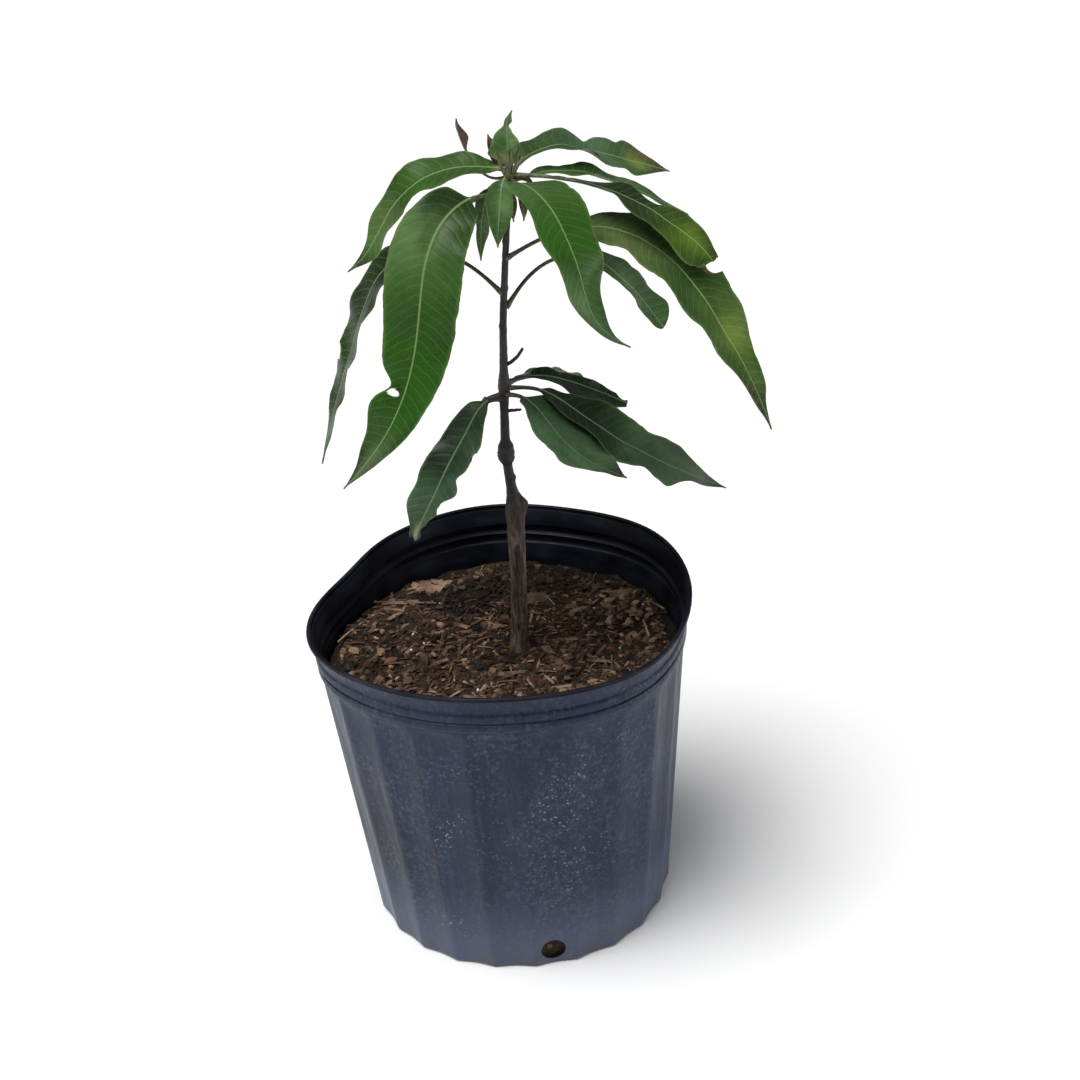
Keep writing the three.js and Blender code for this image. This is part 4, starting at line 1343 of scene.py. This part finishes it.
def leaf_line(leaf, stalk_radius, distances):
    """Places and directions at distances along a leaf, from where its solid begins."""
    length = leaf["stalk"] + leaf["blade"]
    moves = int(length * 2)
    share = np.linspace(0, 1, moves + 1)
    early = lerp(leaf["rise"], leaf["fall"], smoothstep(share, 0, leaf["bend"]))
    late = lerp(leaf["fall"], leaf["tip"], smoothstep(share, leaf["bend"], 1))
    pitch = np.where(share < leaf["bend"], early, late)
    azimuth = leaf["azimuth"] + leaf["sweep"] * share
    roll = leaf["roll"] + leaf["twist"] * (share - 0.5)
    widest = max(read_at(RADII, leaf["at"] + move) for move in (-stalk_radius, stalk_radius))
    clear = widest + SOLID_CLEAR + stalk_radius * abs(math.sin(math.radians(leaf["rise"])))
    out = math.radians(leaf["azimuth"])
    start = np.array([read_at(LEAN, leaf["at"]) + clear * math.cos(out), clear * math.sin(out), leaf["at"]])
    at = np.clip(distances, 0, length)
    fields = [np.column_stack([np.interp(at, share * length, field[:, i]) for i in range(3)])
              for field in path_from(start, azimuth, pitch, roll, length)]
    fields[0] += fields[1] * np.minimum(distances, 0)[:, None]
    return fields

# %% How wide the blade is
def blade_half(leaf, look, distances, end, t, side, open_share, seed):
    """Half the blade's width, with its uneven, bitten and bulging margins."""
    seeded = side * 4 + seed
    uneven = noisy(distances / 9, seeded, 1) + 0.5 * noisy(distances / 3.2, seeded, 7)
    half = open_share * leaf["width"] / 2 * (1 + 0.025 * uneven)
    for one in (1, -1):
        off = nicked(t, one, look.get("nicks", [])) * smoothstep(open_share, 0, 0.2)
        half = np.where(side == one, half - off, half)
    if "round_end" in look:
        past = np.clip((distances - end) / look["round_end"] + 1, 0, 0.995)
        half = half * np.sqrt(1 - past**2)
    return half

# %% The section, from the round stalk to the flat blade with its midrib
BLADE_HALF_THICK = 0.34


def section_of(stalk_radius, distances, t, quarter, x, top, half, flat_share):
    """How far across and how high each corner lies."""
    round_radius = stalk_radius * (1 + 0.6 * np.exp(-np.maximum(distances + 1, 0) / 6.0))
    round_high = round_radius * np.cos(math.pi / 2 * quarter)
    across = lerp(round_radius * np.sin(math.pi / 2 * quarter), half * x, flat_share)
    skin_high = BLADE_HALF_THICK * np.sqrt(np.clip(1 - x**8, 0, 1))
    rib = stalk_radius * lerp(0.95, 0.3, t**0.7)
    rib_under = rib * np.exp(-((across / (rib * 1.15)) ** 2))
    rib_top = 0.16 * np.exp(-((across / 0.8) ** 2)) - 0.12 * np.exp(-(((across - 1.9) / 0.8) ** 2))
    under = lerp(round_high, skin_high + rib_under, flat_share)
    above = lerp(round_high, skin_high + rib_top, flat_share)
    return across, np.where(top, above, -under)

# %% The blade's fold, waves and swellings
SOFT_FOLD = 0.003  # rounds the fold at the midrib
FOLD = math.tan(math.radians(FOLD_DEGREES))


def wavy(leaf, rise, distances, t, side, x, across, half, open_share, flat_share, seed):
    """The section's height, with the blade's two halves folded up, its edges waving and its skin uneven."""
    soft_x = np.sqrt(x**2 + SOFT_FOLD) - math.sqrt(SOFT_FOLD)
    rise = rise + flat_share * soft_x * half * open_share * FOLD
    wave = WAVE_HIGH * np.sin(2 * math.pi * t * leaf["blade"] / WAVE_LONG)
    seeded = side * 3 + seed
    ripple = 1.5 * noisy(distances / 16, seeded, 4) + 0.55 * noisy(distances / 6.5, seeded, 9)
    rise = rise + open_share * (wave * x**2 + ripple * x**2.4)
    return rise + 0.9 * noisy(across / 17, distances / 21, seed) * open_share * flat_share

# %% The rule of a leaf
def leaf_rule(name, leaf, look):
    """The rule that lays a rolled grid out as this leaf."""
    stalk_radius = YOUNG_STALK_RADIUS if name.startswith("young") else STALK_RADIUS
    seed = sum(ord(letter) for letter in name) * 0.37
    early, cut = look.get("early", 0), look.get("cut", 1)
    end = leaf["stalk"] + leaf["blade"] * look.get("shorten", 1)

    def rule(round_share, along_share):
        # a column's place from the midrib (0) to the margin (1), its side, and whether it is on top
        turned = round_share * 4
        quarter = np.minimum(turned % 2, 2 - turned % 2)
        side = np.where(round_share < 0.5, 1, -1)
        top = (round_share > 0.25) & (round_share < 0.75)
        x = quarter ** 1.45

        # a row's place along the blade (0 to 1), and how far the blade has opened there
        distances = lerp(-TUCK, end, along_share)
        past_stalk = distances - leaf["stalk"]
        t = np.maximum(0, past_stalk / leaf["blade"]) * cut
        opened = np.maximum(0, (past_stalk + early) / (leaf["blade"] + early)) * cut * look.get("blunt", 1)
        open_share = outline(opened, look.get("belly", BELLY))
        flat_share = smoothstep(past_stalk + early, -2, 9)

        half = blade_half(leaf, look, distances, end, t, side, open_share, seed)
        half = np.maximum(half, lerp(stalk_radius, TIP_RADIUS, t))
        across, rise = section_of(stalk_radius, distances, t, quarter, x, top, half, flat_share)
        across = across * side
        rise = wavy(leaf, rise, distances, t, side, x, across, half, open_share, flat_share, seed)
        centre, along, right, up = leaf_line(leaf, stalk_radius, distances)
        spots = centre + right * across[:, None] + up * rise[:, None]
        if ("cut" in look or "shorten" in look) and "round_end" not in look:
            torn = 3.2 * noisy(across / 2.2, seed, 3) * smoothstep(distances, end - 9, end)
            spots = spots + along * torn[:, None]
        tone = leaf_tone(name, leaf, look, t, x * side, across, distances, seed)
        return spots, {"tone": tone, "flat_across": across, "flat_along": past_stalk + early}

    return rule

# %% A leaf's colour at each corner
MARGIN_COLOUR, BITTEN_COLOUR = (128, 138, 88), (120, 100, 66)
RIB_SHARE, YOUNG_RIB_SHARE = 1, 0.65


def linear(colour):
    """A linear colour from its name in the palette or from its steps."""
    return np.array(paint(*LEAF_COLOURS.get(colour, colour)))


def stained(tone, colour, share):
    return lerp(tone, linear(colour), share[:, None])


def leaf_tone(name, leaf, look, t, x, across, distances, seed):
    """From foot to tip, then each stain, painted shade and highlight, margins, bites, the stalk; last the
    midrib's thickness.
    """
    places = [at for at, _ in LEAF_TONES[name]]
    colours = np.array([linear(colour) for _, colour in LEAF_TONES[name]])
    tone = np.column_stack([np.interp(t, places, colours[:, i]) for i in range(4)])
    tone[:, :3] *= (1 + 0.35 * noisy(across / 14, distances / 22, seed + 3))[:, None]
    wobble = noisy(across / 7, distances / 9, seed + 8)
    for at, side, reach, colour, strength in look.get("stains_and_painted_light", []):
        gone = np.hypot((t - at) * leaf["blade"], (x - side) * leaf["width"] / 2)
        share = strength * np.exp(-((gone / reach) ** 2) * (1 + 0.7 * wobble))
        tone = stained(tone, colour, np.clip(share, 0, 1))
    tone = stained(tone, MARGIN_COLOUR, smoothstep(np.abs(x), 0.93, 1) * 0.35 * (t > 0))
    bites = [nick for nick in look.get("nicks", []) if nick[-1] == "bite"]
    bitten = sum(smoothstep(nicked(t, side, bites), 0.2, 1.2) * (x * side > 0.8) for side in (1, -1))
    tone = stained(tone, BITTEN_COLOUR, np.clip(bitten, 0, 0.7))
    stalk_colour, foot_colour = STALK_TONES[name.split("_")[0]]
    past_stalk = distances - leaf["stalk"] + look.get("early", 0)
    tone = stained(tone, stalk_colour, 1 - smoothstep(past_stalk, -1, 5))
    tone = stained(tone, foot_colour, 0.8 * (1 - smoothstep(distances, 1, 9)))
    rib = YOUNG_RIB_SHARE if name.startswith("young") else RIB_SHARE
    tone[:, 3] = rib * (1 - 0.75 * np.clip(t, 0, 1) ** 1.5)
    return tone

# %% Eat a hole through a blade
def eat_hole(piece, leaf, along, off_rib, reach_along, reach_across):
    """Punches one ragged round hole, given by its place from the blade's foot and from the midrib."""
    frames = leaf_line(leaf, STALK_RADIUS, np.array([leaf["stalk"] + along]))
    centre, forward, right, up = (Vector(field[0]) for field in frames)
    start_clean()
    bpy.ops.mesh.primitive_cylinder_add(vertices=28, radius=1, depth=12)
    punch = bpy.context.object
    spots = []
    for x, y, z in corners(punch):
        ragged = 1 + 0.25 * noise.noise((x * 1.7, y * 1.7, 3))
        spot = centre + right * (off_rib + x * ragged * reach_across) + forward * y * ragged * reach_along
        spots.append(list((spot + up * z) * MM))
    set_corners(punch, spots)
    before = len(piece.data.polygons)
    punch_out(piece, punch)
    print("hole in", piece.name, "faces", before, "to", len(piece.data.polygons))

# %% Grow one leaf: flat measure, skins and closing
ROUND_COLUMNS = 48
ROW_LENGTH, YOUNG_ROW_LENGTH = 1.2, 0.9
STALK_SKIN_END = 0.5
SKINS = {"young": (young_skin, young_skin), "lower": (lower_skin, underside)}


def values_of(layer, count, field, kind=float):
    """One value for each of a layer's items."""
    values = np.empty(count, dtype=kind)
    layer.foreach_get(field, values)
    return values


def grow_leaf(name, leaf, look):
    kind = name.split("_")[0]
    row_length = YOUNG_ROW_LENGTH if kind == "young" else ROW_LENGTH
    rows = round((leaf["stalk"] + leaf["blade"] + TUCK) / row_length)
    piece, round_share = rolled(name + "_blade", ROUND_COLUMNS, rows, leaf_rule(name, leaf, look))
    made = piece.data
    flat_along, flat_across = (values_of(made.attributes[key].data, len(made.vertices), "value")
                               for key in ("flat_along", "flat_across"))

    # the upper skin, the underside and the stalk, face by face
    quads = values_of(made.polygons, len(made.polygons) * 4, "vertices", int).reshape(-1, 4)
    face_round = round_share[quads].mean(axis=1)
    skin = np.where((face_round > 0.25) & (face_round < 0.75), 0, 1)
    skin = np.where(flat_along[quads].mean(axis=1) < STALK_SKIN_END, 2, skin)
    for finish in (*SKINS.get(kind, (upper_skin, underside)), stalk_finish):
        made.materials.append(finish)
    made.polygons.foreach_set("material_index", skin)

    # the flat measure for the veins
    made.uv_layers[0].name = "leaf_flat"
    flat = np.column_stack((0.5 + flat_across / UV_SPAN, (flat_along + UV_MARGIN) / UV_SPAN))
    loops = values_of(made.loops, len(made.loops), "vertex_index", int)
    made.uv_layers["leaf_flat"].data.foreach_set("uv", flat[loops].ravel())
    for spare in ("flat_along", "flat_across"):
        made.attributes.remove(made.attributes[spare])

    close_up(piece)
    for at, *hole in look.get("holes", []):
        eat_hole(piece, leaf, at * leaf["blade"], *hole)
    shade(piece, 60)
    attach(piece, "root")
    return piece


grown = [grow_leaf(name, leaf, LOOKS.get(name, {})) for name, leaf in LEAVES.items()]
for piece, name in zip(grown, LEAVES):
    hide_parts(name)
print("leaf faces:", sum(len(piece.data.polygons) for piece in grown))

# %% [markdown]
# ## Bud scales and half-grown leaves
#
# Where the leaves leave the stem's tip, the crown is packed with small scales, withered stipules and one
# half-grown brown leaf. They are leaves too, only a few millimetres long, so the same grower makes them.

# %% Fill the crown
SCALES = [  # height, azimuth, stalk, blade, width, rise, fall, tip, roll
    (551, 138, 36, 23, 8, -15, 48, 86, 80), (556, 215, 2, 13, 4.5, 62, 72, 84, 0),
    (557, 320, 2, 15, 5, 60, 70, 80, 0), (555, 20, 2, 12, 4.5, 50, 62, 72, 0),
    (556, 120, 2, 14, 5, 58, 68, 80, 0), (552, 265, 2, 10, 5, 44, 58, 70, 0),
    (550, 300, 3, 15, 5.5, -8, -60, -84, 0), (549, 235, 3, 17, 5, -12, -66, -88, 10),
    (547, 275, 3, 22, 6, -20, -70, -96, -8), (548, 335, 3, 14, 5, -10, -58, -80, 0),
    (546, 250, 3, 26, 6.5, -24, -72, -84, 15), (545, 200, 3, 16, 5, -16, -62, -84, 0),
    (550, 350, 3, 10, 4.5, 10, -24, -50, 0), (551, 80, 3, 14, 5, 6, -40, -70, 0),
    (548, 150, 3, 16, 5, -6, -52, -76, 0), (560, 270, 1, 9, 3.5, 74, 80, 86, 0),
    (559, 60, 1, 9, 3.5, 70, 78, 84, 0), (546, 310, 4, 20, 6, -30, -74, -98, 12),
]
SCALE_TONES = [(98, 68, 72), (128, 118, 84), (104, 112, 74), (140, 130, 100), (84, 96, 62), (116, 96, 72)]
SCALE_FADES = [(0, (1, 1, 1)), (0.6, (0.85, 0.9, 0.85)), (1, (0.6, 0.55, 0.6))]


def crown_scale(number, row):
    height, azimuth, stalk, blade, width, rise, fall, tip, roll = row
    leaf = leaf_of((height, azimuth, stalk, blade, width, rise, fall, 0.5, tip, 0, roll, 0))
    name = "young_scale_" + str(number)
    tone = np.array(SCALE_TONES[number % len(SCALE_TONES)])
    LEAF_TONES[name] = [(at, tuple(tone * fade)) for at, fade in SCALE_FADES]
    return grow_leaf(name, leaf, {})


scales = [crown_scale(number, row) for number, row in enumerate(SCALES)]
select_only(*scales[1:], scales[0])
bpy.ops.object.join()
scales[0].name = "crown_scales"
report(scales[0])

# %% Measure and finish
visual_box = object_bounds()
for axis, label in enumerate("xyz"):
    past = [round((visual_box[end][axis] - cad_box[end][axis]) / MM, 2) for end in (0, 1)]
    print(label, past, "mm past the solids")
